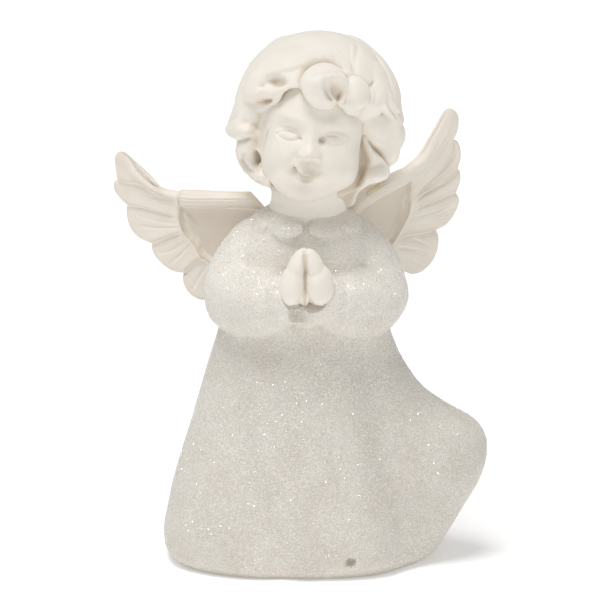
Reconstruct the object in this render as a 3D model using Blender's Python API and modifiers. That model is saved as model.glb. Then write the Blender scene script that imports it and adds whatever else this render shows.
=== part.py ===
"""Cast-resin praying angel figurine, 110 mm tall.

The figurine faces -Y and stands on z = 0. Its own left hand is at +X. Five resin castings are
glued together: the robe with both sleeves, the head with its hair, the praying hands and two
wings. Each of the last four has a spigot or a tenon, which sits in a socket in the robe on a pad
of adhesive. A felt pad fills a shallow recess under the robe and carries the figurine.

All sizes below are in millimetres; MM turns them into Blender's metres.
"""

import math

import bmesh
import bpy
import numpy as np
from mathutils import Matrix, Vector

MM = 0.001

# Driving dimensions
GAP = 0.3               # clearance between neighbouring solids
SEAT_CLEARANCE = 0.4    # the same, round a carved shape
FOOT_Z = 0.7            # underside of the resin, held off the surface by the felt pad
SHOULDER_TOP_Z = 73.4   # rim of the neck opening
HEAD_CENTRE = (1.6, -1.0, 90.8)
HEAD_TURN = -1.0        # degrees, towards the figure's right hand
HEAD_LEAN = 6.5         # degrees, towards the figure's left hand

# Joints between the castings
NECK_SOCKET_RADIUS = 4.6
NECK_SOCKET_FLOOR_Z = 65.0
NECK_RADIUS = 6.9
HAND_SOCKET_CENTRE = (0.0, -15.2, 56.6)
HAND_SPIGOT_RADII = (3.4, 3.0, 4.2)
TENON_SIZE = (4.0, 6.0, 8.0)
TENON_CENTRE = (8.2, 5.0, 65.0)
GLUE_THICKNESS = 0.5
PAD_THICKNESS = 1.0
PAD_RADII = (19.0, 15.0)
PAD_CENTRE = (-1.5, 0.0)

# Robe stations, from hem to neck: height, middle x, half width, half depth, reach of the flare
ROBE_STATIONS = np.array([
    (0.0, -1.6, 24.6, 19.6, 0.8),
    (1.5, -1.6, 26.4, 21.2, 1.4),
    (5.0, -1.6, 27.4, 22.0, 2.9),
    (10.0, -1.5, 26.8, 21.7, 6.6),
    (17.0, -1.4, 25.4, 20.4, 12.0),
    (22.0, -1.3, 24.0, 19.3, 14.4),
    (25.0, -1.2, 23.2, 18.6, 14.8),
    (28.5, -1.1, 22.2, 17.8, 13.2),
    (31.0, -1.0, 21.6, 17.2, 9.4),
    (34.0, -0.9, 20.8, 16.4, 5.6),
    (40.0, -0.8, 19.2, 15.0, 2.2),
    (48.0, -0.5, 17.2, 13.3, 0.4),
    (56.0, -0.2, 16.0, 12.6, 0.0),
    (64.0, 0.0, 14.0, 11.0, 0.0),
    (69.0, 0.0, 11.8, 9.3, 0.0),
    (72.0, 0.0, 9.2, 8.2, 0.0),
    (SHOULDER_TOP_Z, 0.0, 7.6, 7.2, 0.0),
])
FLARE_ANGLE = 2.0       # degrees round from +X towards the back
FLARE_WIDTH = 24.0      # degrees

# Skirt folds: angle at the waist, angle at the hem, half width in degrees, height at the hem
ROBE_FOLDS = (
    (-150.0, -98.0, 10.0, -1.5),
    (-176.0, -150.0, 14.0, 0.7),
    (-42.0, -28.0, 12.0, -2.4),
    (-66.0, -50.0, 12.0, 0.9),
    (48.0, 42.0, 12.0, -1.6),
    (72.0, 68.0, 11.0, 0.9),
    (96.0, 97.0, 12.0, -1.5),
    (120.0, 126.0, 12.0, 0.9),
    (146.0, 154.0, 12.0, -1.3),
)
FOLD_TOP_Z = 50.0       # folds fade out at the waist
FOLD_LOW_Z = 8.0        # below this height the hem evens them out

# One sleeve, from shoulder to cuff on the +X side: x, y, z, radius
SLEEVE_STATIONS = np.array([
    (7.0, 1.5, 67.8, 5.0),
    (11.2, 0.5, 64.6, 6.4),
    (13.8, -1.8, 59.4, 7.0),
    (13.2, -5.6, 55.6, 7.3),
    (10.0, -9.6, 55.4, 7.0),
    (6.6, -12.6, 56.2, 6.4),
    (4.3, -14.4, 57.2, 5.3),
])

# Wing casting in its own plane: s runs out from the root, t runs up from the root's top corner
WING_ROOT = (9.0, 8.6, 74.4)        # of the +X wing before it is turned
WING_SWEEPS = {"left_wing": 33.0, "right_wing": 20.0}   # degrees, towards the back
WING_PIVOT_T = -9.0                 # the hand-set lift turns each wing about this point
WING_LIFTS = {"left_wing": 18.0, "right_wing": -1.0}
WING_THICKNESS = 2.6
# Feathers: start, middle and end (s, t), and half width
FEATHERS = (
    ((12.0, -5.0), (24.0, -1.0), (31.0, 6.6), 3.0),
    ((11.0, -6.5), (22.0, -4.2), (32.2, -1.0), 3.7),
    ((9.0, -8.5), (19.0, -8.6), (29.6, -8.2), 4.4),
    ((6.0, -10.0), (14.0, -12.2), (22.6, -16.0), 4.6),
    ((3.0, -11.0), (8.6, -16.0), (13.6, -23.0), 4.0),
    ((1.0, -9.0), (3.6, -14.0), (5.4, -19.5), 3.6),
)
LEADING_EDGE = ((1.2, -2.6), (9.0, -2.2), (17.0, -2.6), (21.0, -1.6), (25.6, 1.4), (28.6, 5.0))

# Head: hair masses as centre, radii and turn about Y, in the head's own frame
HAIR_MASSES = (
    ((0.7, 2.2, 2.6), (16.3, 15.4, 15.9), 0.0),
    ((-11.3, -3.6, 3.6), (3.7, 7.0, 8.6), 8.0),
    ((-13.6, -3.4, -2.2), (3.0, 3.8, 2.7), 35.0),
    ((-10.6, -2.8, -7.6), (3.2, 5.0, 4.4), -15.0),
    ((-4.2, -7.6, 9.6), (8.0, 5.6, 4.4), -18.0),
    ((9.6, -7.2, 8.4), (5.8, 6.2, 5.2), 32.0),
    ((13.6, -2.4, 1.0), (4.0, 6.6, 7.6), -8.0),
    ((15.9, -3.0, -3.6), (3.0, 4.2, 2.8), -35.0),
    ((11.6, -2.4, -9.8), (3.8, 5.0, 5.4), 15.0),
    ((0.0, 9.0, -8.0), (12.6, 7.4, 7.6), 0.0),
)
FACE_WINDOW = (0.0, -3.0, 9.0, 10.5)   # middle x and z, half width and half height
FORELOCK = ((2.4, -13.0, 10.8), 3.9, 1.8)   # middle, ring radius, lock radius
SMALL_CURL = ((8.8, -11.0, 9.4), (2.4, 2.2, 3.2))
FACE_CENTRE = (0.0, -1.8, -1.5)
FACE_RADII = (10.7, 12.2, 13.7)
# Face forms: x, z, spread x, spread z, height; a pair has its twin at -x
FACE_FORMS = (
    (5.6, -4.8, 3.4, 3.2, 1.5),
    (4.3, 0.4, 2.5, 1.6, -1.0),
    (4.3, -0.2, 1.6, 0.9, 0.7),
    (0.0, -3.2, 1.4, 1.4, 2.1),
    (0.0, -7.2, 2.0, 1.2, 1.0),
    (0.0, -9.3, 2.6, 0.7, -0.5),
    (0.0, -11.8, 2.6, 1.6, 0.9),
)

# Triangles kept in each carved casting
ROBE_TRIANGLES = 2600
HEAD_TRIANGLES = 2600
HANDS_TRIANGLES = 600
WING_TRIANGLES = 1100
CARVING_VOXEL = 0.7


def clear_scene():
    for obj in list(bpy.data.objects):
        bpy.data.objects.remove(obj, do_unlink=True)


def new_collection(name, hidden=False):
    made = bpy.data.collections.new(name)
    made.hide_render = hidden
    bpy.context.scene.collection.children.link(made)
    return made


def material(name, colour, roughness):
    made = bpy.data.materials.new(name)
    made.use_nodes = True
    shader = made.node_tree.nodes["Principled BSDF"]
    shader.inputs["Base Color"].default_value = (*colour, 1.0)
    shader.inputs["Roughness"].default_value = roughness
    shader.inputs["Metallic"].default_value = 0.0
    return made


def smooth_columns(table, at):
    """Rows of the table at the places given, eased through its stations by cubic Hermite pieces."""
    places = table[:, 0]
    at = np.clip(np.asarray(at, float), places[0], places[-1])
    slopes = np.gradient(table[:, 1:], places, axis=0)
    i = np.clip(np.searchsorted(places, at) - 1, 0, len(places) - 2)
    step = (places[i + 1] - places[i])[:, None]
    t = ((at - places[i]) / step[:, 0])[:, None]
    low, high = table[i, 1:], table[i + 1, 1:]
    return (
        (2 * t**3 - 3 * t**2 + 1) * low
        + (t**3 - 2 * t**2 + t) * step * slopes[i]
        + (3 * t**2 - 2 * t**3) * high
        + (t**3 - t**2) * step * slopes[i + 1]
    )


def mesh_object(name, bm, collection):
    """The bmesh, which is in millimetres, as an object in metres."""
    bmesh.ops.scale(bm, vec=(MM, MM, MM), verts=bm.verts)
    bmesh.ops.recalc_face_normals(bm, faces=bm.faces)
    mesh = bpy.data.meshes.new(name)
    bm.to_mesh(mesh)
    bm.free()
    made = bpy.data.objects.new(name, mesh)
    collection.objects.link(made)
    return made


def loft(name, rings, collection):
    """A closed body through rings of equally many points, with a flat cap at each end."""
    bm = bmesh.new()
    rows = [[bm.verts.new(point) for point in ring] for ring in rings]
    for low, high in zip(rows, rows[1:]):
        for k in range(len(low)):
            after = (k + 1) % len(low)
            bm.faces.new((low[k], low[after], high[after], high[k]))
    bm.faces.new(reversed(rows[0]))
    bm.faces.new(rows[-1])
    return mesh_object(name, bm, collection)


def ball(name, centre, radii, collection, turn=None, segments=32):
    """An ellipsoid. turn is the matrix that turns it about its centre."""
    bm = bmesh.new()
    bmesh.ops.create_uvsphere(bm, u_segments=segments, v_segments=segments // 2, radius=1.0)
    place = Matrix.Translation(Vector(centre))
    if turn is not None:
        place = place @ turn.to_4x4()
    place = place @ Matrix.Diagonal((*radii, 1.0))
    bmesh.ops.transform(bm, matrix=place, verts=bm.verts)
    return mesh_object(name, bm, collection)


def box(name, centre, size, collection, turn=None):
    bm = bmesh.new()
    bmesh.ops.create_cube(bm, size=1.0)
    place = Matrix.Translation(Vector(centre))
    if turn is not None:
        place = place @ turn.to_4x4()
    bmesh.ops.transform(bm, matrix=place @ Matrix.Diagonal((*size, 1.0)), verts=bm.verts)
    return mesh_object(name, bm, collection)


def post(name, centre, radii, height, collection, segments=40):
    """An upright elliptical post, with its middle at the centre given."""
    bm = bmesh.new()
    bmesh.ops.create_cone(
        bm, cap_ends=True, segments=segments, radius1=1.0, radius2=1.0, depth=1.0
    )
    place = Matrix.Translation(Vector(centre)) @ Matrix.Diagonal((*radii, height, 1.0))
    bmesh.ops.transform(bm, matrix=place, verts=bm.verts)
    return mesh_object(name, bm, collection)


def rope(name, points, radii, collection, flat=1.0, across=(0.0, 1.0, 0.0), sides=16):
    """A rod along the points. flat scales it in the direction across, so that it can be a blade."""
    points = [Vector([float(value) for value in point]) for point in points]
    across = Vector(across)
    rings = []
    for k, point in enumerate(points):
        ahead = points[min(k + 1, len(points) - 1)] - points[max(k - 1, 0)]
        side = ahead.cross(across).normalized()
        up = side.cross(ahead).normalized() * flat
        ring = []
        for j in range(sides):
            angle = 2 * math.pi * j / sides
            out = math.cos(angle) * side + math.sin(angle) * up
            ring.append(point + out * float(radii[k]))
        rings.append(ring)
    return loft(name, rings, collection)


def evaluated_mesh(obj):
    graph = bpy.context.evaluated_depsgraph_get()
    return bpy.data.meshes.new_from_object(obj.evaluated_get(graph), depsgraph=graph)


def settle(obj):
    """Applies the modifiers of an object."""
    bpy.context.view_layer.update()
    mesh = evaluated_mesh(obj)
    obj.modifiers.clear()
    obj.data = mesh


def carve(name, pieces, collection, voxel, smoothing):
    """One casting from overlapping forms: their union on a voxel grid, with softened creases."""
    bm = bmesh.new()
    for piece in pieces:
        bm.from_mesh(piece.data)
        bpy.data.objects.remove(piece, do_unlink=True)
    mesh = bpy.data.meshes.new(name)
    bm.to_mesh(mesh)
    bm.free()
    made = bpy.data.objects.new(name, mesh)
    collection.objects.link(made)
    union = made.modifiers.new("union", "REMESH")
    union.mode = "VOXEL"
    union.voxel_size = voxel * MM
    soften = made.modifiers.new("soften", "SMOOTH")
    soften.factor = 0.5
    soften.iterations = smoothing
    settle(made)
    return made


def thin(obj, triangles):
    """Collapses the mesh to about that many triangles."""
    obj.data.calc_loop_triangles()
    reduce = obj.modifiers.new("thin", "DECIMATE")
    reduce.ratio = min(1.0, triangles / len(obj.data.loop_triangles))
    reduce.use_collapse_triangulate = True
    settle(obj)


def cut(obj, cutter):
    """Takes the cutter's shape out of the object."""
    made = obj.modifiers.new("cut_" + cutter.name, "BOOLEAN")
    made.operation = "DIFFERENCE"
    made.solver = "EXACT"
    made.object = cutter
    cutter.hide_render = True
    cutter.display_type = "WIRE"


def add(obj, other):
    """Joins the other object to this one as one body."""
    made = obj.modifiers.new("add_" + other.name, "BOOLEAN")
    made.operation = "UNION"
    made.solver = "EXACT"
    made.object = other
    settle(obj)
    bpy.data.objects.remove(other, do_unlink=True)


# ---------------------------------------------------------------- robe


def robe_radius(angle, z):
    """Distance from the axis to the robe's surface, for angles in degrees at one height."""
    _, half_width, half_depth, flare = smooth_columns(ROBE_STATIONS, [z])[0]
    radians = np.radians(angle)
    oval = ((np.abs(np.cos(radians)) / half_width) ** 2.3
            + (np.abs(np.sin(radians)) / half_depth) ** 2.3) ** (-1 / 2.3)
    away = (angle - FLARE_ANGLE + 180.0) % 360.0 - 180.0
    radius = oval + flare * np.exp(-((away / FLARE_WIDTH) ** 2))
    drop = max(0.0, 1.0 - z / FOLD_TOP_Z)
    for at_waist, at_hem, width, height in ROBE_FOLDS:
        middle = at_waist + (at_hem - at_waist) * drop
        off = (angle - middle + 180.0) % 360.0 - 180.0
        reach = height * drop**0.6 * (0.3 + 0.7 * min(1.0, z / FOLD_LOW_Z))
        radius = radius + reach * np.exp(-((off / width) ** 2))
    return radius


def make_robe(collection, cutters):
    angles = np.arange(0.0, 360.0, 3.75)
    heights = np.concatenate([
        np.linspace(0.0, 5.0, 6), np.linspace(6.5, 48.0, 28), np.linspace(50.0, SHOULDER_TOP_Z, 16)
    ])
    rings = []
    for z in heights:
        middle_x = smooth_columns(ROBE_STATIONS, [z])[0][0]
        radius = robe_radius(angles, z)
        x = middle_x + radius * np.cos(np.radians(angles))
        y = radius * np.sin(np.radians(angles))
        rings.append(np.column_stack([x, y, np.full_like(x, z)]))
    pieces = [loft("skirt_and_bodice", rings, collection)]
    along = np.linspace(0.0, 1.0, 22)
    spaced = np.column_stack([np.linspace(0.0, 1.0, len(SLEEVE_STATIONS)), SLEEVE_STATIONS])
    track = smooth_columns(spaced, along)
    for side in (1.0, -1.0):
        points = track[:, :3] * np.array([side, 1.0, 1.0])
        pieces.append(rope("sleeve", points, track[:, 3], collection, across=(0, 0, 1), sides=24))
        for end in (0, -1):
            pieces.append(ball("sleeve_end", points[end], (track[end, 3],) * 3, collection))
        flap = [
            (side * 9.4 * math.sin(a), -0.4 - 9.2 * math.cos(a), 70.4 - 0.8 * math.cos(a))
            for a in np.radians(np.linspace(16.0, 150.0, 16))
        ]
        ends = np.sin(np.linspace(0.35, math.pi - 0.35, 16)) ** 0.35
        pieces.append(
            rope("collar", flap, 2.7 * ends, collection, flat=0.45, across=(0, -0.2, 1))
        )
    robe = carve("robe_body", pieces, collection, CARVING_VOXEL, 4)
    thin(robe, ROBE_TRIANGLES)
    cut(robe, box("below_foot", (0, 0, FOOT_Z - 10), (90, 90, 20), cutters))
    pad = PAD_RADII[0] + GAP, PAD_RADII[1] + GAP
    recess_top = PAD_THICKNESS + GAP
    cut(robe, post("pad_recess", (*PAD_CENTRE, 0.0), pad, 2 * recess_top, cutters))
    cut(robe, box("above_neck", (0, 0, SHOULDER_TOP_Z + 5), (40, 40, 10), cutters))
    depth = 2 * (SHOULDER_TOP_Z - NECK_SOCKET_FLOOR_Z)
    radii = (NECK_SOCKET_RADIUS, NECK_SOCKET_RADIUS)
    cut(robe, post("neck_socket", (0, 0, SHOULDER_TOP_Z), radii, depth, cutters))
    socket = [r + GAP for r in HAND_SPIGOT_RADII]
    socket[2] += GLUE_THICKNESS + GAP
    cut(robe, ball("hand_socket", HAND_SOCKET_CENTRE, socket, cutters))
    for side in (1.0, -1.0):
        size = [length + 2 * GAP for length in TENON_SIZE]
        size[1] += 2 * (GLUE_THICKNESS + GAP)
        centre = (side * TENON_CENTRE[0], TENON_CENTRE[1], TENON_CENTRE[2])
        cut(robe, box("tenon_socket", centre, size, cutters))
    return robe


# ---------------------------------------------------------------- head


def head_matrix():
    lean = Matrix.Rotation(math.radians(HEAD_LEAN), 4, "Y")
    turn = Matrix.Rotation(math.radians(HEAD_TURN), 4, "Z")
    return Matrix.Translation(Vector(HEAD_CENTRE)) @ turn @ lean


def face_ball(collection):
    """The face: an ellipsoid whose front is pushed out and in by soft round forms."""
    bm = bmesh.new()
    bmesh.ops.create_uvsphere(bm, u_segments=72, v_segments=48, radius=1.0)
    bmesh.ops.scale(bm, vec=FACE_RADII, verts=bm.verts)
    bmesh.ops.translate(bm, vec=FACE_CENTRE, verts=bm.verts)
    for vert in bm.verts:
        x, y, z = vert.co
        if y > 0:
            continue
        push = 0.0
        for middle_x, middle_z, spread_x, spread_z, height in FACE_FORMS:
            for side in (1, -1) if middle_x else (1,):
                away = ((x - side * middle_x) / spread_x) ** 2 + ((z - middle_z) / spread_z) ** 2
                push += height * math.exp(-away)
        vert.co += (vert.co - Vector(FACE_CENTRE)).normalized() * push
    return mesh_object("face", bm, collection)


def hair_cap(collection):
    """The main mass of the hair, drawn in behind the face so that the face shows."""
    centre, radii, _ = HAIR_MASSES[0]
    middle_x, middle_z, half_width, half_height = FACE_WINDOW
    bm = bmesh.new()
    bmesh.ops.create_uvsphere(bm, u_segments=96, v_segments=64, radius=1.0)
    bmesh.ops.scale(bm, vec=radii, verts=bm.verts)
    bmesh.ops.translate(bm, vec=centre, verts=bm.verts)
    for vert in bm.verts:
        x, y, z = vert.co
        if y > 0:
            continue
        out = math.hypot((x - middle_x) / half_width, (z - middle_z) / half_height)
        if z < middle_z:
            out = abs(x - middle_x) / half_width
        inside = min(1.0, max(0.0, (1.25 - out) / 0.25))
        vert.co.y *= 1.0 - 0.55 * inside
    return mesh_object("hair_cap", bm, collection)


def forelock(collection):
    """The big curl over the forehead: a rope wound into a spiral, in a plane facing forwards."""
    (x, y, z), radius, thickness = FORELOCK
    turns = np.radians(np.linspace(60.0, 560.0, 40))
    shrink = np.linspace(1.0, 0.2, 40)
    points = [
        (x + radius * s * math.cos(a), y - 1.2 * (1 - s), z + radius * s * math.sin(a))
        for a, s in zip(turns, shrink)
    ]
    ends = np.sqrt(np.sin(np.linspace(0.1, math.pi - 0.1, 40)))
    return rope("forelock", points, thickness * (0.55 + 0.45 * shrink) * ends, collection)


def make_head(collection):
    pieces = [face_ball(collection), hair_cap(collection), forelock(collection)]
    for centre, radii, turn in HAIR_MASSES[1:]:
        turned = Matrix.Rotation(math.radians(turn), 4, "Y")
        pieces.append(ball("lock", centre, radii, collection, turn=turned))
    pieces.append(ball("small_curl", SMALL_CURL[0], SMALL_CURL[1], collection))
    place = head_matrix()
    shift = Matrix.Diagonal((MM, MM, MM, 1.0)) @ place @ Matrix.Diagonal((1 / MM,) * 3 + (1.0,))
    for piece in pieces:
        piece.data.transform(shift)
    neck_top = HEAD_CENTRE[2] - 8.0
    neck_foot = SHOULDER_TOP_Z - 3.0
    middle = (0.3, 0.2, (neck_top + neck_foot) / 2)
    pieces.append(post("neck", middle, (NECK_RADIUS,) * 2, neck_top - neck_foot, collection))
    head = carve("head", pieces, collection, CARVING_VOXEL, 3)
    thin(head, HEAD_TRIANGLES)
    return head


def finish_head(head, collection, cutters):
    """Trims the neck flat and adds the spigot that goes into the robe."""
    foot = SHOULDER_TOP_Z + GAP
    trim = box("below_neck", (0, 0, foot - 10), (60, 60, 20), cutters)
    cut(head, trim)
    settle(head)
    low = NECK_SOCKET_FLOOR_Z + GLUE_THICKNESS + 2 * GAP
    height = foot + 1.0 - low
    radius = NECK_SOCKET_RADIUS - GAP
    spigot = post("spigot", (0, 0, low + height / 2), (radius, radius), height, collection)
    add(head, spigot)


# ---------------------------------------------------------------- hands


def make_hands(collection):
    """Two mittens pressed together, with a spigot that fills the opening between the cuffs."""
    pieces = []
    for side, width in ((1.0, 2.8), (-1.0, 2.4)):
        tip = Matrix.Rotation(math.radians(-side * 13.0), 3, "Y")
        centre = (side * 2.3 - 0.1, -17.6, 61.0)
        pieces.append(ball("palm", centre, (width, 3.0, 5.2), collection, turn=tip))
        fingers = Matrix.Rotation(math.radians(-side * 17.0), 3, "Y")
        centre = (side * 1.15 + 0.15, -17.4, 65.0)
        pieces.append(ball("fingers", centre, (1.5, 2.3, 4.0), collection, turn=fingers))
    pieces.append(ball("spigot", HAND_SOCKET_CENTRE, HAND_SPIGOT_RADII, collection))
    hands = carve("praying_hands", pieces, collection, 0.35, 2)
    thin(hands, HANDS_TRIANGLES)
    return hands


# ---------------------------------------------------------------- wings


def wing_matrix(side, sweep, lift):
    """From the wing's plane, where x is s, y is depth and z is t, to the figurine."""
    about = Vector((0.0, 0.0, WING_PIVOT_T))
    lifted = (Matrix.Translation(about) @ Matrix.Rotation(math.radians(-lift), 4, "Y")
              @ Matrix.Translation(-about))
    swept = Matrix.Rotation(math.radians(sweep), 4, "Z")
    placed = Matrix.Translation(Vector(WING_ROOT)) @ swept @ lifted
    return Matrix.Diagonal((side, 1.0, 1.0, 1.0)) @ placed


def blade(start, middle, end, half_width, collection, index):
    """One feather: a flat rod along a bent line, broad near its round end."""
    along = np.linspace(0.0, 1.0, 14)
    places = np.column_stack([
        (1 - along) ** 2 * start[k] + 2 * along * (1 - along) * middle[k] + along**2 * end[k]
        for k in (0, 1)
    ])
    depth = 0.25 * (index % 2)
    points = [(s, depth, t) for s, t in places]
    radii = half_width * (0.72 + 0.28 * along) * np.sqrt(np.clip(1.02 - along**7, 0.0, 1.0))
    flat = 0.5 * WING_THICKNESS / half_width
    return rope("feather", points, radii, collection, flat=flat)


def make_wing(name, side, collection, cutters):
    pieces = [
        blade(*feather, collection, index) for index, feather in enumerate(FEATHERS)
    ]
    panel = [(-3.0, 0.0, -9.4), (1.0, 0.3, -9.2), (9.0, 0.5, -8.4), (16.0, 0.5, -6.4)]
    pieces.append(rope("inner_panel", panel, (6.4, 7.4, 7.0, 4.8), collection, flat=0.17))
    edge = [(s, 0.0, t) for s, t in LEADING_EDGE]
    radii = (1.9, 2.1, 2.3, 2.1, 1.9, 1.4)
    pieces.append(rope("leading_edge", edge, radii, collection, flat=0.85))
    place = wing_matrix(side, WING_SWEEPS[name], WING_LIFTS[name])
    shift = Matrix.Diagonal((MM, MM, MM, 1.0)) @ place @ Matrix.Diagonal((1 / MM,) * 3 + (1.0,))
    for piece in pieces:
        piece.data.transform(shift)
        if side < 0:
            piece.data.flip_normals()
    wing = carve(name, pieces, collection, 0.5, 3)
    thin(wing, WING_TRIANGLES)
    return wing


def seat_in_robe(robe, casting, cutters):
    """Cuts a seat in the robe that follows the casting all round at the clearance."""
    seat = bpy.data.objects.new(casting.name + "_seat", casting.data.copy())
    cutters.objects.link(seat)
    normals = [vert.normal.copy() for vert in seat.data.vertices]
    for vert, normal in zip(seat.data.vertices, normals):
        vert.co += normal * SEAT_CLEARANCE * MM
    cut(robe, seat)


def finish_wing(wing, side, collection):
    """Adds the tenon that goes into the robe's back."""
    centre = [side * TENON_CENTRE[0], TENON_CENTRE[1], TENON_CENTRE[2]]
    add(wing, box("tenon", centre, TENON_SIZE, collection))


# ---------------------------------------------------------------- small pieces


def make_glue_pads(collection):
    made = []
    z = NECK_SOCKET_FLOOR_Z + GAP + GLUE_THICKNESS / 2
    radius = NECK_SOCKET_RADIUS - 2 * GAP
    made.append(post("neck_glue", (0, 0, z), (radius, radius), GLUE_THICKNESS, collection))
    x, y, z = HAND_SOCKET_CENTRE
    low = z - HAND_SPIGOT_RADII[2] - GAP - GLUE_THICKNESS / 2
    made.append(post("hands_glue", (x, y, low), (0.9, 0.8), GLUE_THICKNESS, collection, 24))
    for name, side in (("left_wing_glue", 1.0), ("right_wing_glue", -1.0)):
        y = TENON_CENTRE[1] - TENON_SIZE[1] / 2 - GAP - GLUE_THICKNESS / 2
        centre = (side * TENON_CENTRE[0], y, TENON_CENTRE[2])
        size = (TENON_SIZE[0], GLUE_THICKNESS, TENON_SIZE[2])
        made.append(box(name, centre, size, collection))
    return made


def make_base_pad(collection):
    middle = (*PAD_CENTRE, PAD_THICKNESS / 2)
    return post("base_pad", middle, PAD_RADII, PAD_THICKNESS, collection, segments=64)


def main():
    clear_scene()
    figurine = new_collection("angel_figurine")
    cutters = new_collection("cutters", hidden=True)
    resin = material("cast_resin", (0.86, 0.83, 0.78), 0.75)
    glitter = material("glittered_resin", (0.80, 0.78, 0.74), 0.55)
    adhesive = material("adhesive", (0.74, 0.68, 0.52), 0.4)
    felt = material("felt", (0.78, 0.76, 0.72), 0.95)

    robe = make_robe(figurine, cutters)
    head = make_head(figurine)
    finish_head(head, figurine, cutters)
    hands = make_hands(figurine)
    seat_in_robe(robe, hands, cutters)
    left = make_wing("left_wing", 1.0, figurine, cutters)
    right = make_wing("right_wing", -1.0, figurine, cutters)
    for wing, side in ((left, 1.0), (right, -1.0)):
        seat_in_robe(robe, wing, cutters)
        finish_wing(wing, side, figurine)
    glue = make_glue_pads(figurine)
    pad = make_base_pad(figurine)

    robe.data.materials.append(glitter)
    for obj in (head, hands, left, right):
        obj.data.materials.append(resin)
    for obj in glue:
        obj.data.materials.append(adhesive)
    pad.data.materials.append(felt)


main()
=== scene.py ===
import math

import bpy
import numpy as np
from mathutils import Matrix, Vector


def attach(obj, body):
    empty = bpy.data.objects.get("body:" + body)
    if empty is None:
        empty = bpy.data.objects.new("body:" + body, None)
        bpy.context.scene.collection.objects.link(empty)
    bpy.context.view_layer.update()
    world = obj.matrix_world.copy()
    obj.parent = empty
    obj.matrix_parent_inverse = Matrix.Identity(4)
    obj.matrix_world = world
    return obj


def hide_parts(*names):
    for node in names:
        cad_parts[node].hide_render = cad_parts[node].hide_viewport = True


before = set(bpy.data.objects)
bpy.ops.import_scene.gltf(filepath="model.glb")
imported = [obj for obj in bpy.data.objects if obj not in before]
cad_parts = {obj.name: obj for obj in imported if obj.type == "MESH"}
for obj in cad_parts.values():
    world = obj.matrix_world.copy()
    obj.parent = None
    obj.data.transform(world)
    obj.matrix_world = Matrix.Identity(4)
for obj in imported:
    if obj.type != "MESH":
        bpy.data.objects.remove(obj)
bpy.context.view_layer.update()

# A cast-resin praying angel, 109 mm tall, made of five castings glued together. It faces -Y.
# Shapes are worked out in millimetres and turned into metres where they become meshes.

MM = 0.001
TAU = 2 * math.pi


# ------------------------------------------------------------------ curves and closed forms


def smooth_path(points, count):
    """Catmull-Rom curve through the rows of points, read at count even steps."""
    points = np.asarray(points, float)
    last = len(points) - 1
    at = np.linspace(0, last, count)
    i = np.minimum(at.astype(int), last - 1)
    f = (at - i)[:, None]
    before = points[np.maximum(i - 1, 0)]
    start = points[i]
    end = points[i + 1]
    after = points[np.minimum(i + 2, last)]
    return 0.5 * (
        2 * start
        + (end - before) * f
        + (2 * before - 5 * start + 4 * end - after) * f**2
        + (3 * start - before - 3 * end + after) * f**3
    )


def unit(vectors):
    return vectors / np.maximum(np.linalg.norm(vectors, axis=-1, keepdims=True), 1e-9)


def smooth_step(values, low, high):
    t = np.clip((values - low) / (high - low), 0, 1)
    return t * t * (3 - 2 * t)


def bell(distance, width):
    """1 at no distance, falling as a normal curve."""
    return np.exp(-((distance / width) ** 2))


def tube(rings):
    """Corners and faces of a closed body through rings (rows, around, 3), with flat ends."""
    rows, around = rings.shape[:2]
    index = np.arange(rows * around).reshape(rows, around)
    after = np.roll(index, -1, axis=1)
    sides = np.stack([index[:-1], after[:-1], after[1:], index[1:]], axis=-1).reshape(-1, 4)
    faces = sides.tolist() + [index[0, ::-1].tolist(), index[-1].tolist()]
    return rings.reshape(-1, 3), faces


def sweep(path, width, height, normal, sides):
    """A rod along a path. Its section is an ellipse, width across and height along the normal."""
    path = np.asarray(path, float)
    ahead = unit(np.gradient(path, axis=0))
    normal = np.broadcast_to(np.asarray(normal, float), path.shape)
    side = unit(np.cross(ahead, normal))
    up = np.cross(side, ahead)
    angle = np.linspace(0, TAU, sides, endpoint=False)
    across = np.cos(angle)[None, :, None] * np.asarray(width, float)[:, None, None]
    along = np.sin(angle)[None, :, None] * np.asarray(height, float)[:, None, None]
    return tube(path[:, None] + across * side[:, None] + along * up[:, None])


def ball(centre, radii, axes=None, sides=28):
    """An ellipsoid: a rod along its third axis whose radius follows a half circle."""
    axes = np.eye(3) if axes is None else np.asarray(axes, float)
    t = np.linspace(0.03, math.pi - 0.03, sides)
    angle = np.linspace(0, TAU, sides, endpoint=False)
    flat = np.stack(
        [
            np.outer(np.sin(t), np.cos(angle)) * radii[0],
            np.outer(np.sin(t), np.sin(angle)) * radii[1],
            np.repeat(-np.cos(t)[:, None], sides, axis=1) * radii[2],
        ],
        axis=-1,
    )
    return tube(flat @ axes + np.asarray(centre, float))


def rounded(count, sharp=6.0):
    """Radius factors along a rod that close both its ends roundly."""
    t = np.linspace(-1, 1, count)
    return np.sqrt(np.clip(1.02 - np.abs(t) ** sharp, 0.02, 1))


def turned(first, second, degrees):
    """Two coordinates turned in their plane."""
    c, s = math.cos(math.radians(degrees)), math.sin(math.radians(degrees))
    return c * first - s * second, s * first + c * second


def turn_about_y(degrees):
    c, s = math.cos(math.radians(degrees)), math.sin(math.radians(degrees))
    return np.array([(c, 0, -s), (0, 1, 0), (s, 0, c)])


# ------------------------------------------------------------------ meshes


def link(name, data):
    """A new object in the scene, for a mesh, a light or a camera."""
    made = bpy.data.objects.new(name, data)
    bpy.context.scene.collection.objects.link(made)
    return made


def mesh_of(name, corners, faces):
    mesh = bpy.data.meshes.new(name)
    mesh.from_pydata((np.asarray(corners) * MM).tolist(), [], faces)
    mesh.update()
    return mesh


def corners_of(mesh):
    flat = np.empty(3 * len(mesh.vertices))
    mesh.vertices.foreach_get("co", flat)
    return flat.reshape(-1, 3) / MM


def put_corners(mesh, corners):
    mesh.vertices.foreach_set("co", (corners * MM).ravel())
    mesh.update()


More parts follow.
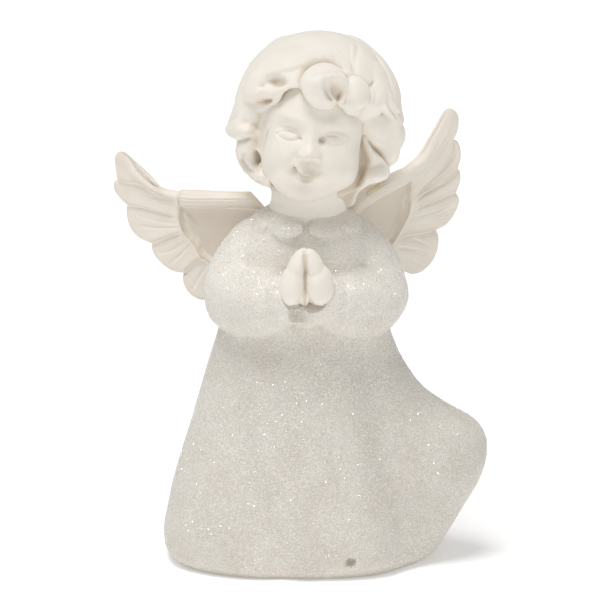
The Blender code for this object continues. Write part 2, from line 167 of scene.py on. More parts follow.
def fuse(name, forms, voxel, smoothing):
    """One casting from overlapping closed forms: the skin of their union on a voxel grid, with
    its creases softened. Returns the mesh."""
    corners = np.concatenate([form[0] for form in forms])
    faces = []
    start = 0
    for form in forms:
        faces += [[start + k for k in face] for face in form[1]]
        start += len(form[0])
    rough = link(name, mesh_of(name, corners, faces))
    union = rough.modifiers.new("union", "REMESH")
    union.mode = "VOXEL"
    union.voxel_size = voxel * MM
    soften = rough.modifiers.new("soften", "SMOOTH")
    soften.factor = 0.5
    soften.iterations = smoothing
    bpy.context.view_layer.update()
    graph = bpy.context.evaluated_depsgraph_get()
    mesh = bpy.data.meshes.new_from_object(rough.evaluated_get(graph), depsgraph=graph)
    bpy.data.objects.remove(rough)
    return mesh


def mark_hollow_shade(mesh, steps, sunk=0.0):
    """Writes the attribute hollow, the mask of the painted shade in hollows: how far, in
    millimetres, each corner lies under its own surroundings, which are its neighbours' mean taken
    steps times over, plus sunk, which adds painted shade."""
    count = len(mesh.vertices)
    ends = np.empty(2 * len(mesh.edges), np.int32)
    mesh.edges.foreach_get("vertices", ends)
    first, second = ends.reshape(-1, 2).T
    normal = np.empty(3 * count)
    mesh.vertices.foreach_get("normal", normal)
    corners = corners_of(mesh)
    valence = np.bincount(first, minlength=count) + np.bincount(second, minlength=count)
    level = corners.copy()
    for _ in range(steps):
        total = np.stack([np.bincount(first, level[second, k], count)
                          + np.bincount(second, level[first, k], count) for k in range(3)], axis=-1)
        level = 0.5 * (level + total / np.maximum(valence, 1)[:, None])
    depth = np.einsum("ij,ij->i", level - corners, normal.reshape(-1, 3))
    written = mesh.attributes.new("hollow", "FLOAT", "POINT")
    written.data.foreach_set("value", np.asarray(depth + sunk, np.float32))


def piece(name, mesh, material, slot, *nodes):
    """A finished piece: smooth shaded, riding on the body, standing for the CAD nodes named."""
    made = link(name, mesh)
    mesh.materials.clear()
    mesh.materials.append(material)
    mesh.polygons.foreach_set("use_smooth", np.ones(len(mesh.polygons), bool))
    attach(made, "root")
    if nodes:
        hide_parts(*nodes)
    return made


# ------------------------------------------------------------------ shader maths


class Signal:
    """A value in a material. +, - and * on it add Math nodes."""

    def __init__(self, maker, socket):
        self.maker = maker
        self.socket = socket

    def _math(self, operation, first, second):
        return self.maker.node("ShaderNodeMath", {"operation": operation}, {0: first, 1: second})

    def __add__(self, other):
        return self._math("ADD", self, other)

    def __sub__(self, other):
        return self._math("SUBTRACT", self, other)

    def __rsub__(self, other):
        return self._math("SUBTRACT", other, self)

    def __mul__(self, other):
        return self._math("MULTIPLY", self, other)

    __radd__ = __add__
    __rmul__ = __mul__


class Finish:
    """A material with one Principled shader, whose constants are given by socket name."""

    def __init__(self, name, **constants):
        self.material = bpy.data.materials.new(name)
        self.material.use_nodes = True
        self.tree = self.material.node_tree
        self.shader = self.tree.nodes["Principled BSDF"]
        for socket, value in constants.items():
            self.shader.inputs[socket.replace("_", " ")].default_value = value

    def node(self, kind, settings, inputs, output=0):
        made = self.tree.nodes.new(kind)
        for key, value in settings.items():
            setattr(made, key, value)
        for key, value in inputs.items():
            self.feed(made.inputs[key], value)
        return Signal(self, made.outputs[output])

    def feed(self, socket, value):
        if isinstance(value, Signal):
            self.tree.links.new(value.socket, socket)
        else:
            socket.default_value = value

    def place(self):
        return self.node("ShaderNodeTexCoord", {}, {}, "Object")

    def noise(self, scale, detail=2.0):
        """Cloudy noise; scale is in cells per metre."""
        inputs = {"Vector": self.place(), "Scale": scale, "Detail": detail}
        return self.node("ShaderNodeTexNoise", {}, inputs, "Fac")

    def hollow(self, low, high):
        """How much painted shade the surface gets for lying in a hollow, from the pieces' own
        attribute.
        """
        depth = self.node("ShaderNodeAttribute", {"attribute_name": "hollow"}, {}, "Fac")
        return self.limit(depth, low, high)

    def cells(self, scale, output):
        """Round cells, as many per metre as scale."""
        inputs = {"Vector": self.place(), "Scale": scale}
        return self.node("ShaderNodeTexVoronoi", {"feature": "F1"}, inputs, output)

    def mix(self, share, first, second):
        """The first colour, giving way to the second as share grows."""
        inputs = {0: share, 6: first, 7: second}
        return self.node("ShaderNodeMix", {"data_type": "RGBA"}, inputs, 2)

    def limit(self, value, low, high, to_low=0.0, to_high=1.0):
        """A value stretched from one range to another, and held within it."""
        inputs = {"Value": value, "From Min": low, "From Max": high,
                  "To Min": to_low, "To Max": to_high}
        return self.node("ShaderNodeMapRange", {}, inputs, 0)

    def bump(self, height, strength, distance):
        inputs = {"Strength": strength, "Distance": distance, "Height": height}
        return self.node("ShaderNodeBump", {}, inputs, 0)

    def set(self, socket, value):
        self.feed(self.shader.inputs[socket], value)


# Colours of the paint and of the glitter coat, and of what is painted on them: painted shade in the
# hollows, dark specks and painted glints
RESIN_LIGHT = (0.845, 0.795, 0.720, 1.0)
RESIN_SHADE = (0.800, 0.745, 0.660, 1.0)
RESIN_PAINTED_SHADE = (0.560, 0.465, 0.350, 1.0)
SKIRT_LIGHT = (0.680, 0.640, 0.570, 1.0)
SKIRT_SHADE = (0.625, 0.580, 0.508, 1.0)
# The bodice's tones are lighter than the skirt's: painted light on the upper robe, which faces up
# to the lamp.
BODICE_LIGHT = (0.790, 0.750, 0.680, 1.0)
BODICE_SHADE = (0.740, 0.690, 0.615, 1.0)
COAT_PAINTED_SHADE = (0.480, 0.410, 0.320, 1.0)
COAT_SPECK = (0.420, 0.370, 0.300, 1.0)
COAT_PAINTED_GLINT = (0.95, 0.93, 0.90, 1.0)
PAINTED_LIGHT_WAIST = (0.042, 0.060)  # heights in metres between which the skirt's tone turns to the bodice's


def plain_resin():
    """Matte white paint over cast resin: nearly even, with a faint cloudy tone and fine tooth,
    and with painted shade, brownish, in the hollows."""
    made = Finish("painted_resin", Subsurface_Weight=0.10, Subsurface_Radius=(1.0, 0.8, 0.6),
                  Subsurface_Scale=0.0010)
    cloud = made.noise(180.0, 3.0)
    paint = made.mix(made.limit(cloud, 0.35, 0.75), RESIN_LIGHT, RESIN_SHADE)
    # Painted shade: the paint turns brownish as the hollow attribute deepens.
    made.set("Base Color", made.mix(made.hollow(0.03, 0.60), paint, RESIN_PAINTED_SHADE))
    made.set("Roughness", made.limit(made.noise(900.0), 0.3, 0.7, 0.58, 0.78))
    tooth = made.noise(2600.0, 3.0)
    pores = made.limit(made.cells(420.0, "Distance"), 0.0, 0.12)
    made.set("Normal", made.bump(tooth * 0.6 + pores * 0.4, 0.25, 0.00006))
    return made.material


def glittered_resin():
    """The same paint under a coat of lacquer and fine glitter: a sandy, sparkling skin, with
    painted shade in its hollows, painted glints and painted light on the bodice.
    """
    made = Finish("glitter_coat", Subsurface_Weight=0.05, Subsurface_Scale=0.001)
    grain = made.cells(4300.0, "Color")
    share = made.node("ShaderNodeSeparateColor", {}, {"Color": grain}, 0)
    other = made.node("ShaderNodeSeparateColor", {}, {"Color": grain}, 1)
    cloud = made.limit(made.noise(160.0, 3.0), 0.35, 0.7)
    skirt = made.mix(cloud, SKIRT_LIGHT, SKIRT_SHADE)
    lit_bodice = made.mix(cloud, BODICE_LIGHT, BODICE_SHADE)
    height = made.node("ShaderNodeSeparateXYZ", {}, {"Vector": made.place()}, 2)
    # Painted light: above the waist the robe turns to the lighter bodice tones.
    base = made.mix(made.limit(height, *PAINTED_LIGHT_WAIST), skirt, lit_bodice)
    # Painted shade: the coat darkens in its hollows.
    base = made.mix(made.hollow(0.10, 0.90), base, COAT_PAINTED_SHADE)
    base = made.mix(made.limit(other, 0.0, 0.3, 0.22, 0.0), base, COAT_SPECK)
    # Painted glints: pale specks in half the glitter cells stand for the glitter's sparkle.
    made.set("Base Color", made.mix(made.limit(share, 0.5, 1.0, 0.0, 0.45), base, COAT_PAINTED_GLINT))
    made.set("Roughness", made.limit(other, 0.0, 1.0, 0.35, 0.85))
    made.set("Metallic", made.limit(other, 0.86, 0.87, 0.0, 0.25))
    lumps = made.cells(2600.0, "Distance")
    made.set("Normal", made.bump(lumps * -1.0 + share * 0.6, 0.55, 0.00016))
    return made.material


def glitter_flakes():
    """Silvered flakes of glitter."""
    made = Finish("glitter_flakes", Specular_IOR_Level=1.0, IOR=2.4)
    tone = made.cells(900.0, "Color")
    share = made.node("ShaderNodeSeparateColor", {}, {"Color": tone}, 0)
    made.set("Base Color", made.mix(share, (0.98, 0.98, 0.97, 1.0), (0.86, 0.86, 0.85, 1.0)))
    made.set("Roughness", made.limit(share, 0.0, 1.0, 0.12, 0.34))
    made.set("Metallic", made.limit(share, 0.0, 1.0, 0.1, 0.85))
    return made.material


def set_adhesive():
    """Yellowed, set adhesive."""
    made = Finish("set_adhesive", Coat_Weight=0.3)
    cloud = made.noise(700.0)
    made.set("Base Color", made.mix(cloud, (0.56, 0.46, 0.29, 1.0), (0.70, 0.61, 0.43, 1.0)))
    made.set("Roughness", made.limit(cloud, 0.3, 0.7, 0.30, 0.55))
    return made.material


def pad_felt():
    """Short-pile felt."""
    made = Finish("pad_felt")
    fibre = made.noise(4200.0, 4.0)
    made.set("Base Color", made.mix(fibre, (0.58, 0.56, 0.52, 1.0), (0.76, 0.74, 0.70, 1.0)))
    made.set("Roughness", made.limit(fibre, 0.3, 0.7, 0.9, 1.0))
    made.set("Normal", made.bump(fibre, 0.7, 0.0003))
    return made.material


PAINT = plain_resin()
GLITTER_COAT = glittered_resin()
FLAKES = glitter_flakes()
ADHESIVE = set_adhesive()
FELT = pad_felt()


# ------------------------------------------------------------------ robe

# From hem to neck: height, middle x, half width, half depth, reach of the flare
ROBE_STATIONS = np.array([
    (0, -1.6, 24.6, 19.6, 0.8),
    (1.5, -1.6, 26.4, 21.2, 1.4),
    (5, -1.6, 27.4, 22, 2.9),
    (10, -1.5, 26.8, 21.7, 6.6),
    (17, -1.4, 25.4, 20.4, 12),
    (22, -1.3, 24, 19.3, 14.4),
    (25, -1.2, 23.2, 18.6, 14.8),
    (28.5, -1.1, 22.2, 17.8, 13.2),
    (31, -1, 21.6, 17.2, 9.4),
    (34, -0.9, 20.8, 16.4, 5.6),
    (40, -0.8, 19.2, 15, 2.2),
    (48, -0.5, 17.2, 13.3, 0.4),
    (56, -0.2, 16, 12.6, 0),
    (64, 0, 14, 11, 0),
    (69, 0, 11.8, 9.3, 0),
    (72, 0, 9.2, 8.2, 0),
    (73.4, 0, 7.6, 7.2, 0),
])
# Skirt folds: angle at the waist and at the hem, half width in degrees, height at the hem
ROBE_FOLDS = (
    (-150, -98, 10, -2.1),
    (-176, -150, 14, 0.7),
    (-42, -28, 12, -2.4),
    (-66, -50, 12, 0.9),
    (48, 42, 12, -1.6),
    (72, 68, 11, 0.9),
    (96, 97, 12, -1.5),
    (120, 126, 12, 0.9),
    (146, 154, 12, -1.3),
    (-128, -84, 6, 0.35),
    (-100, -76, 5, -0.3),
    (-84, -66, 5, 0.3),
    (-20, -8, 7, 0.5),
    (8, 10, 6, -0.5),
)
SLEEVE_STATIONS = (
    (7, 1.5, 67.8, 5),
    (10.4, 0.5, 64.6, 5.9),
    (13.2, -1.8, 59.4, 6.8),
    (13.2, -5.6, 55.6, 7.3),
    (10, -9.6, 55.4, 7),
    (6.6, -12.6, 56.2, 6.4),
    (4.3, -14.4, 57.2, 5.3),
)


# Form that joins the cuffs under the hands, then cavities pressed in round the hands, below
# them and by the hem: centre, radii
CUFF_BRIDGE = ((0.2, -14.2, 53.6), (3.2, 3.3, 2.3))
CAVITIES = (
    ((-0.1, -20.2, 61.4), (5.4, 7, 6.3)),
    ((-1.5, -20.4, 54.8), (2.3, 4, 3.5)),
    ((9.2, -22.6, 4), (1.45, 2.8, 1.2)),
)
# Collar lobes: angle from the front in degrees, half length, half width
COLLAR_LOBES = ((24, 3.7, 2.5), (74, 4.8, 2.4), (122, 4.6, 2.4), (160, 4, 2.3))
COLLAR_HEIGHT = 70.9
# Underside: middle x and half widths of the recess for the pad, its height, and the rim's
RECESS_X, RECESS_WIDE, RECESS_DEEP = -1.6, 23.0, 18.6
RECESS_HEIGHT, RIM_HEIGHT = 0.7, 0.15


def robe_rings(angles, heights):
    """Robe: at each height an oval with |x/a|^2.3 + |y/b|^2.3 = 1, plus a bell of the angle
    about +X for the blown-out side, plus a bell for each fold, which drifts from its angle at
    the waist to its angle at the hem, fades out at the waist and evens out at the hem."""
    table = ROBE_STATIONS
    slopes = np.gradient(table[:, 1:], table[:, 0], axis=0)
    i = np.clip(np.searchsorted(table[:, 0], heights) - 1, 0, len(table) - 2)
    step = (table[i + 1, 0] - table[i, 0])[:, None]
    t = (heights - table[i, 0])[:, None] / step
    middle, wide, deep, flare = (
        (2 * t**3 - 3 * t**2 + 1) * table[i, 1:]
        + (t**3 - 2 * t**2 + t) * step * slopes[i]
        + (3 * t**2 - 2 * t**3) * table[i + 1, 1:]
        + (t**3 - t**2) * step * slopes[i + 1]
    ).T[:, :, None]
    a = np.radians(angles)
    radius = ((np.abs(np.cos(a)) / wide) ** 2.3 + (np.abs(np.sin(a)) / deep) ** 2.3) ** (-1 / 2.3)
    radius = radius + flare * bell((angles - 2.0 + 180) % 360 - 180, 24.0)
    drop = np.clip(1 - heights / 50.0, 0, 1)[:, None]
    even = 0.3 + 0.7 * np.clip(heights / 8.0, 0, 1)[:, None]
    for at_waist, at_hem, width, height in ROBE_FOLDS:
        off = (angles - (at_waist + (at_hem - at_waist) * drop) + 180) % 360 - 180
        radius = radius + height * drop**0.6 * even * bell(off, width)
    x = middle + radius * np.cos(a)
    y = radius * np.sin(a)
    return np.stack([x, y, np.broadcast_to(heights[:, None], x.shape)], axis=-1)


def sleeve_forms(side):
    """A sleeve: a rod along the arm whose section has shallow drapes that wind along it, with a
    rolled rim at the cuff."""
    count = 60
    track = smooth_path(np.array(SLEEVE_STATIONS) * (side, 1, 1, 1), count)
    path = track[:, :3]
    radius = track[:, 3] * np.sqrt(np.clip(1.0 - np.linspace(-1, 1, count) ** 16, 0.02, 1))
    ahead = unit(np.gradient(path, axis=0))
    across = unit(np.cross(ahead, (0, 0, 1)))
    up = np.cross(across, ahead)
    angle = np.linspace(0, TAU, 72, endpoint=False)[None, :]
    t = np.linspace(0, 1, count)[:, None]
    drape = 1 + 0.028 * np.cos(5 * angle + 7 * t) * smooth_step(t, 0.2, 0.6)
    drape = drape + 0.022 * np.cos(9 * angle - 5 * t + 1) * smooth_step(t, 0.35, 0.8)
    elbow = bell(t - 0.42, 0.10) * np.cos(26 * t + 2 * angle) * 0.022
    reach = (radius[:, None] * (drape + elbow))[..., None]
    rings = path[:, None] + reach * (np.cos(angle)[..., None] * across[:, None]
                                     + np.sin(angle)[..., None] * up[:, None])
    forms = [tube(rings)]
    for end, size in ((0, 5.0), (-1, 5.2)):
        forms.append(ball(path[end], (size,) * 3))
    return forms


def collar_forms():
    """A scalloped collar: flat lobes laid round the neck, sloping with the shoulders."""
    forms = []
    for degrees, length, width in COLLAR_LOBES:
        for side in (1, -1):
            a = math.radians(degrees) * side
            out = np.array([math.sin(a), -math.cos(a), 0.0])
            along = np.array([math.cos(a), math.sin(a), 0.0])
            slope = unit(out * 0.64 + np.array([0, 0, -0.77]))
            lift = np.cross(along, slope)
            reach = 9.15 + 0.9 * abs(math.sin(a))
            centre = out * reach + np.array([0, -0.4 * math.cos(a), COLLAR_HEIGHT])
            centre = centre - 0.35 * lift * np.sign(lift[2])
            forms.append(ball(centre, (length, 0.85, 0.9 * width), np.array([along, lift, slope])))
    ring = np.linspace(0, TAU, 60)
    path = np.column_stack([7.6 * np.sin(ring), -7.4 * np.cos(ring), np.full(60, 72.6)])
    forms.append(sweep(path, np.full(60, 0.8), np.full(60, 0.7), (0, 0, 1), sides=12))
    return forms


def press(corners, centre, radii):
    """Pushes the corners that lie inside an ellipsoid out to its skin."""
    centre, radii = np.array(centre), np.array(radii)
    away = (corners - centre) / radii
    far = np.linalg.norm(away, axis=1)
    inside = far < 1
    corners[inside] = centre + away[inside] / far[inside, None] * radii
    return corners


def make_robe():
    """Robe: one skin over the turned skirt, the sleeves and the collar, with cavities pressed
    in, and with its underside flat at the rim and raised over the pad."""
    angles = np.arange(0, 360, 1.2)
    heights = np.concatenate([np.linspace(0, 6, 16), np.linspace(6.4, 73.4, 150)])
    forms = [tube(robe_rings(angles[None, :], heights))]
    forms += sleeve_forms(1) + sleeve_forms(-1) + collar_forms()
    forms.append(ball(*CUFF_BRIDGE))
    mesh = fuse("robe", forms, 0.42, 3)
    corners = corners_of(mesh)
    for centre, radii in CAVITIES:
        corners = press(corners, centre, radii)
    over_pad = np.hypot((corners[:, 0] - RECESS_X) / RECESS_WIDE, corners[:, 1] / RECESS_DEEP) < 1
    corners[:, 2] = np.maximum(corners[:, 2], np.where(over_pad, RECESS_HEIGHT, RIM_HEIGHT))
    put_corners(mesh, corners)
    mark_hollow_shade(mesh, 24)
    return piece("robe", mesh, GLITTER_COAT, "glittered_resin", "robe_body")


# Bands of glitter: name, number of flakes, lowest and highest place, seed
GLITTER_BANDS = (
    ("hem_glitter", 9500, 2.2, 24.0, 11),
    ("skirt_glitter", 9500, 24.0, 49.0, 13),
    ("bodice_glitter", 8600, 49.0, 73.0, 12),
)
FLAKE_RADII = (0.045, 0.105)
FLAKE_HALF_THICKNESS = 0.014
FLAKE_LIFT = 0.03
FLAKE_TILT = 0.36


def make_flakes(robe, name, count, low, high, seed):
    """Glitter: thin hexagonal flakes, 0.09 to 0.21 mm across, scattered by area over the robe
    between two heights, each tilted a little off the surface and half sunk in the lacquer."""
    mesh = robe.data
    corners = corners_of(mesh)
    mesh.calc_loop_triangles()
    flat = np.empty(3 * len(mesh.loop_triangles), np.int32)
    mesh.loop_triangles.foreach_get("vertices", flat)
    three = corners[flat.reshape(-1, 3)]
    facing = np.cross(three[:, 1] - three[:, 0], three[:, 2] - three[:, 0])
    area = np.linalg.norm(facing, axis=1) / 2
    normal = unit(facing)
    z = three[:, :, 2].mean(axis=1)
    wanted = area * (z > low) * (z < high) * (normal[:, 2] > -0.5)
    random = np.random.default_rng(seed)
    chosen = random.choice(len(area), count, p=wanted / wanted.sum())
    share = np.sort(random.random((count, 2)), axis=1)
    weights = np.column_stack([share[:, 0], share[:, 1] - share[:, 0], 1 - share[:, 1]])
    place = np.einsum("ij,ijk->ik", weights, three[chosen])
    up = unit(normal[chosen] + FLAKE_TILT * random.normal(size=(count, 3)))
    side = unit(np.cross(up, random.normal(size=(count, 3))))
    other = np.cross(up, side)
    radius = random.uniform(*FLAKE_RADII, count)[:, None, None]
    angle = np.linspace(0, TAU, 6, endpoint=False)
    cosine, sine = np.cos(angle)[None, :, None], np.sin(angle)[None, :, None]
    rim = cosine * side[:, None] + sine * other[:, None]
    middle = (place + FLAKE_LIFT * normal[chosen])[:, None]
    top = middle + radius * rim + FLAKE_HALF_THICKNESS * up[:, None]
    bottom = middle + radius * rim - FLAKE_HALF_THICKNESS * up[:, None]
    points = np.concatenate([bottom, top], axis=1).reshape(-1, 3)
    start = 12 * np.arange(count)[:, None]
    k = np.arange(6)
    after = (k + 1) % 6
    walls = np.stack([k, after, after + 6, k + 6], axis=-1).reshape(1, 24)
    faces = (start + k[::-1]).tolist() + (start + 6 + k).tolist()
    faces += (start + walls).reshape(-1, 4).tolist()
    made = piece(name, mesh_of(name, points, faces), FLAKES, "glittered_resin")
    made.data.polygons.foreach_set("use_smooth", np.zeros(len(made.data.polygons), bool))
    return made


# ------------------------------------------------------------------ head

HEAD_CENTRE = np.array([1.6, -1.0, 90.8])
HEAD_LEAN = 6.5
FACE_CENTRE = np.array([-0.6, -1.8, -1.5])
FACE_RADII = np.array([9.8, 12.2, 13.3])

# Round forms of the face: x, z, spread x, spread z, height; a pair has its twin at -x
FACE_FORMS = (
    (0, 9.6, 9, 4.2, 1.2),
    (4.4, 3.1, 3, 1.2, 0.45),
    (4.3, 0.5, 2.7, 1.8, -1.5),
    (0, 0.8, 1.1, 3, 0.35),
    (4.5, -0.1, 1.9, 1.05, 1.05),
    (6, -5, 3.4, 3.1, 2.1),
    (7.6, -8.6, 3.2, 3.2, 2),
    (8.4, 2.6, 2.8, 5, 1.6),
    (3, -12, 3.4, 2.4, 1.1),
    (0, -1, 0.9, 1.6, 0.6),
    (0, -2.6, 1.4, 1.15, 2.6),
    (1.4, -3.2, 0.85, 0.75, 1),
    (0, -4.7, 2, 0.5, -0.5),
    (0, -7.2, 2.9, 2.1, 1),
    (0, -5.3, 0.36, 0.7, -0.25),
    (0.85, -6.55, 0.95, 0.5, 0.75),
    (0, -8.3, 1.3, 0.6, 0.95),
    (0, -9.7, 2.1, 0.6, -0.7),
    (0, -11.9, 2.2, 1.5, 1.2),
)
# Pits: x, z, radius, depth
FACE_PITS = ((2.7, -0.35, 0.8, 2.2), (-2.6, -0.35, 0.55, 0.9), (0.8, -4, 0.5, 0.55),
             (-0.8, -4, 0.5, 0.55), (2.3, -6.7, 0.5, 0.4), (-2.6, -6.6, 0.65, 1.4))
# Creases, on both sides: points (x, z), half width, depth
FACE_CREASES = (
    (((2.2, 0.5), (3.2, 1.4), (4.7, 1.8), (6.2, 1.3), (6.9, 0.5)), 0.36, 0.24),
    (((2.2, -0.35), (3.2, 0.45), (4.6, 0.75), (6, 0.35), (7, -0.5)), 0.26, 0.34),
    (((2.2, -0.35), (3.4, -0.85), (4.8, -1), (6.2, -0.8), (7, -0.5)), 0.26, 0.26),
    (((-2.5, -6.6), (-1.3, -7.15), (0, -7.55), (1.3, -7.15), (2.5, -6.6)), 0.28, 0.5),
    (((1.7, -2.2), (2.4, -3), (2.4, -3.9)), 0.45, 0.25),
    (((2.6, -3.6), (3.3, -5), (3.5, -6.6)), 0.6, 0.3),
)


def crease(x, z, points, half_width):
    """1 on the curve through the points, falling off as a bell across it, fading at its ends."""
    path = smooth_path(points, 40)
    apart = (x[:, None] - path[:, 0]) ** 2 + (z[:, None] - path[:, 1]) ** 2
    fade = np.sin(np.linspace(0.25, math.pi - 0.25, 40)) ** 0.4
    return np.exp(-apart.min(axis=1) / half_width**2) * fade[apart.argmin(axis=1)]


def make_face():
    """Face: an ellipsoid read on rings about its front, pushed out and in along its radius by
    bells of the distance from each form, pit and crease. The cheek at -X is then drawn in."""
    around, rows = 380, 250
    ring = np.linspace(0.004, 1, rows) ** 1.12 * math.radians(128)
    turn = np.linspace(0, TAU, around, endpoint=False)
    way = np.stack(
        [
            np.outer(np.sin(ring), np.cos(turn)),
            np.repeat(-np.cos(ring)[:, None], around, axis=1),
            np.outer(np.sin(ring), np.sin(turn)),
        ],
        axis=-1,
    ).reshape(-1, 3)
    skin = way * FACE_RADII
    x = skin[:, 0]
    z = skin[:, 2] + FACE_CENTRE[2]
    front = smooth_step(-way[:, 1], -0.1, 0.3)
    push = np.zeros(len(x))
    for middle_x, middle_z, wide, high, height in FACE_FORMS:
        for side in (1, -1) if middle_x else (1,):
            away = ((x - side * middle_x) / wide) ** 2 + ((z - middle_z) / high) ** 2
            push += height * np.exp(-away)
    for middle_x, middle_z, radius, depth in FACE_PITS:
        push -= depth * bell(np.hypot(x - middle_x, z - middle_z), radius)
    for points, half_width, depth in FACE_CREASES:
        for side in (1, -1):
            both = np.array(points) * (side, 1)
            push -= depth * crease(x, z, both, half_width)
    skin = skin + way * (push * front)[:, None] + FACE_CENTRE
    skin[:, 0] += 1.3 * smooth_step(-skin[:, 0], 5.5, 10.5)
    skin = skin @ turn_about_y(HEAD_LEAN) + HEAD_CENTRE
    mesh = mesh_of("face", *tube(skin.reshape(rows, around, 3)))
    mark_hollow_shade(mesh, 60)
    return piece("face", mesh, PAINT, "plain_resin", "head")


def make_neck():
    """Neck: circles whose radius widens towards the collar and whose middle follows the lean."""
    rows, around = 60, 120
    t = np.linspace(0, 1, rows)[:, None]
    turn = np.linspace(0, TAU, around, endpoint=False)[None, :]
    radius = 7.3 + 0.9 * (1 - t) ** 3 - 0.1 * bell(t - 0.3, 0.06) + 0.7 * t**2
    x = 0.2 + 1.0 * t + radius * np.cos(turn)
    y = -0.2 + radius * np.sin(turn)
    z = np.broadcast_to(71.4 + 12.0 * t, x.shape)
    mesh = mesh_of("neck", *tube(np.stack([x, y, z], axis=-1)))
    return piece("neck", mesh, PAINT, "plain_resin", "head")


# Outline of the hair, seen level, below its widest place: height, middle x, middle y, half
# width, half depth. Above it is an ellipsoid.
HAIR_WIDEST = (93.3, 2.5, 1.2, 16.3, 15.4)
HAIR_TOP = 15.9
HAIR_BELOW = (
    (91.6, 2.6, 1.25, 16.4, 15.5),
    (89, 2.6, 1.3, 16.4, 15.4),
    (86, 2.5, 1.4, 16, 15.1),
    (83, 2.4, 1.5, 15.2, 14.4),
    (80, 2.6, 1.6, 13.8, 13.2),
    (78.2, 2.1, 1.8, 10.9, 11),
    (76.8, 2.1, 2.4, 9.4, 9.2),
    (75.4, 1.8, 3, 8.8, 8),
    (74, 1.8, 3.4, 8.4, 7.4),
    (73, 1.8, 3.6, 7.8, 6.8),
    (72.8, 1.8, 3.6, 5, 4.5),
)
# The opening for the face: height, x of its edges on the two sides
FACE_OPENING = np.array([
    (73, -8.6, 9.6),
    (76, -8, 10.4),
    (81.2, -7.2, 12.4),
    (84.1, -8.4, 13.5),
    (88.4, -8.5, 12.2),
    (90.4, -8.1, 11.3),
    (92, -7.1, 10.2),
    (93.6, -6.7, 9),
    (95.7, -6.4, 7.8),
    (97.6, -5.3, 6.4),
    (99.2, -4.6, 4.2),
    (100.6, -3, 2),
])
# y of the bottom of the gap beside the face
GAP_FLOOR_Y = -5.2
# Locks: crown height and depth of their fine grooves, then longitude (0 is the front, +90 is +X),
# height, lift and half width along each
LOCKS = (
    # the big sweep across the brow to the flip at the right ear
    (0.3, 0, ((54, 107.6, -0.3, 3), (-8, 107, 0.2, 3.3), (-36, 105.8, 0.5, 3.2),
                  (-52, 104.2, 0.7, 2.8), (-60, 101.3, 0.8, 2.2), (-60, 98.4, 0.8, 2.2),
                  (-58, 95.8, 0.8, 2.3), (-58, 93.5, 1, 2.3), (-66, 91.3, 1.5, 2),
                  (-80, 89.6, 2, 1.5), (-93, 89, 2.5, 0.8))),
    (0.3, 0, ((20, 108.8, -0.2, 3.5), (-65, 107.6, 0.3, 4), (-82, 104.6, 0.35, 3.8),
                  (-80, 100.9, 0.35, 3.4), (-76, 97.3, 0.45, 3), (-76, 94, 0.8, 2.6),
                  (-88, 90.8, 1.4, 2), (-98, 89.2, 2.2, 1.2))),
    (0.3, 0, ((-120, 108.4, 0, 3), (-112, 104.6, 0.3, 3.4), (-105, 100.9, 0.3, 3.2),
                  (-98, 96.8, 0.4, 2.8), (-104, 92.8, 0.9, 2.2), (-112, 90.2, 1.6, 1.2))),
    # small locks at the temple
    (0.35, 0, ((-52, 98.6, 0.6, 1.2), (-40, 99.3, 0.35, 0.9), (-32, 100.1, 0.1, 0.6),
                  (-26, 100.7, -0.2, 0.3))),
    (0.3, 0, ((-49, 95.3, 0.5, 1), (-41, 95.8, 0.1, 0.7), (-37, 96.4, -0.3, 0.3))),
    # the curl in front of the ear, round its hollow
    (0.55, 0, ((-52, 87.6, 0.1, 0.8), (-60, 87.6, 0.4, 0.9), (-76, 86, 0.6, 1),
                  (-86, 83.2, 0.7, 1), (-74, 81, 0.6, 1), (-58, 80.8, 0.4, 0.9),
                  (-46, 82.6, 0.2, 0.7), (-43, 85, 0.1, 0.5))),
    (0.4, 0, ((-60, 86.1, -0.9, 0.35), (-56, 84.8, -0.6, 0.35), (-51, 83.4, -0.9, 0.35))),
    (0.5, 0.06, ((-96, 86.4, 0.2, 1.8), (-92, 83, 0.3, 1.8), (-80, 79.8, 0.4, 1.5),
                  (-64, 78.4, 0.5, 1.1))),
    # right of the parting
    (0.2, 0.02, ((110, 107, 0, 2.6), (72, 106, 0.2, 3), (54, 104.4, 0.4, 3),
                  (46, 102.8, 0.4, 2.4), (40, 101.4, 0.2, 1.4))),
    (0.4, 0.03, ((110, 105.6, 0.1, 2.8), (96, 102.6, 0.3, 3), (84, 98.8, 0.35, 2.9),
                  (80, 95, 0.4, 2.5), (86, 92.2, 0.5, 1.9), (96, 90.6, 0.6, 1))),
    (0.45, 0.03, ((70, 104, 0.2, 2), (62, 101.4, 0.5, 2.3), (58, 97.9, 0.6, 2.2),
                  (58, 95.2, 0.7, 1.9), (64, 93, 0.8, 1.6), (78, 91.6, 0.9, 1))),
    (0.35, 0.03, ((50, 100.5, 0.2, 1.1), (50, 98.4, 0.4, 2), (46, 96.4, 0.5, 2.2),
                  (40, 94.8, 0.4, 1.8), (32, 93.8, 0.1, 0.9))),
    (0.3, 0, ((62, 98.4, 0.9, 0.4), (62, 97, 1, 0.5), (65, 95.3, 1.1, 0.5),
                  (72, 93.9, 1.1, 0.4))),
    (0.5, 0.03, ((36, 92.8, 0.1, 1.6), (50, 91.4, 0.6, 2.4), (66, 89.4, 0.8, 2.8),
                  (82, 87.8, 0.9, 2.4), (96, 87, 1, 1.4))),
    (0.45, 0.03, ((38, 89.2, -0.2, 1), (50, 87.6, 0.3, 1.8), (66, 85.6, 0.6, 2.2),
                  (82, 84, 0.7, 1.9), (94, 82.8, 0.9, 1))),
    (0.45, 0.03, ((42, 86, -0.2, 1), (50, 84, 0.4, 1.6), (60, 81.6, 0.6, 2),
                  (70, 79.6, 0.6, 1.8), (80, 78.2, 0.6, 1))),
)
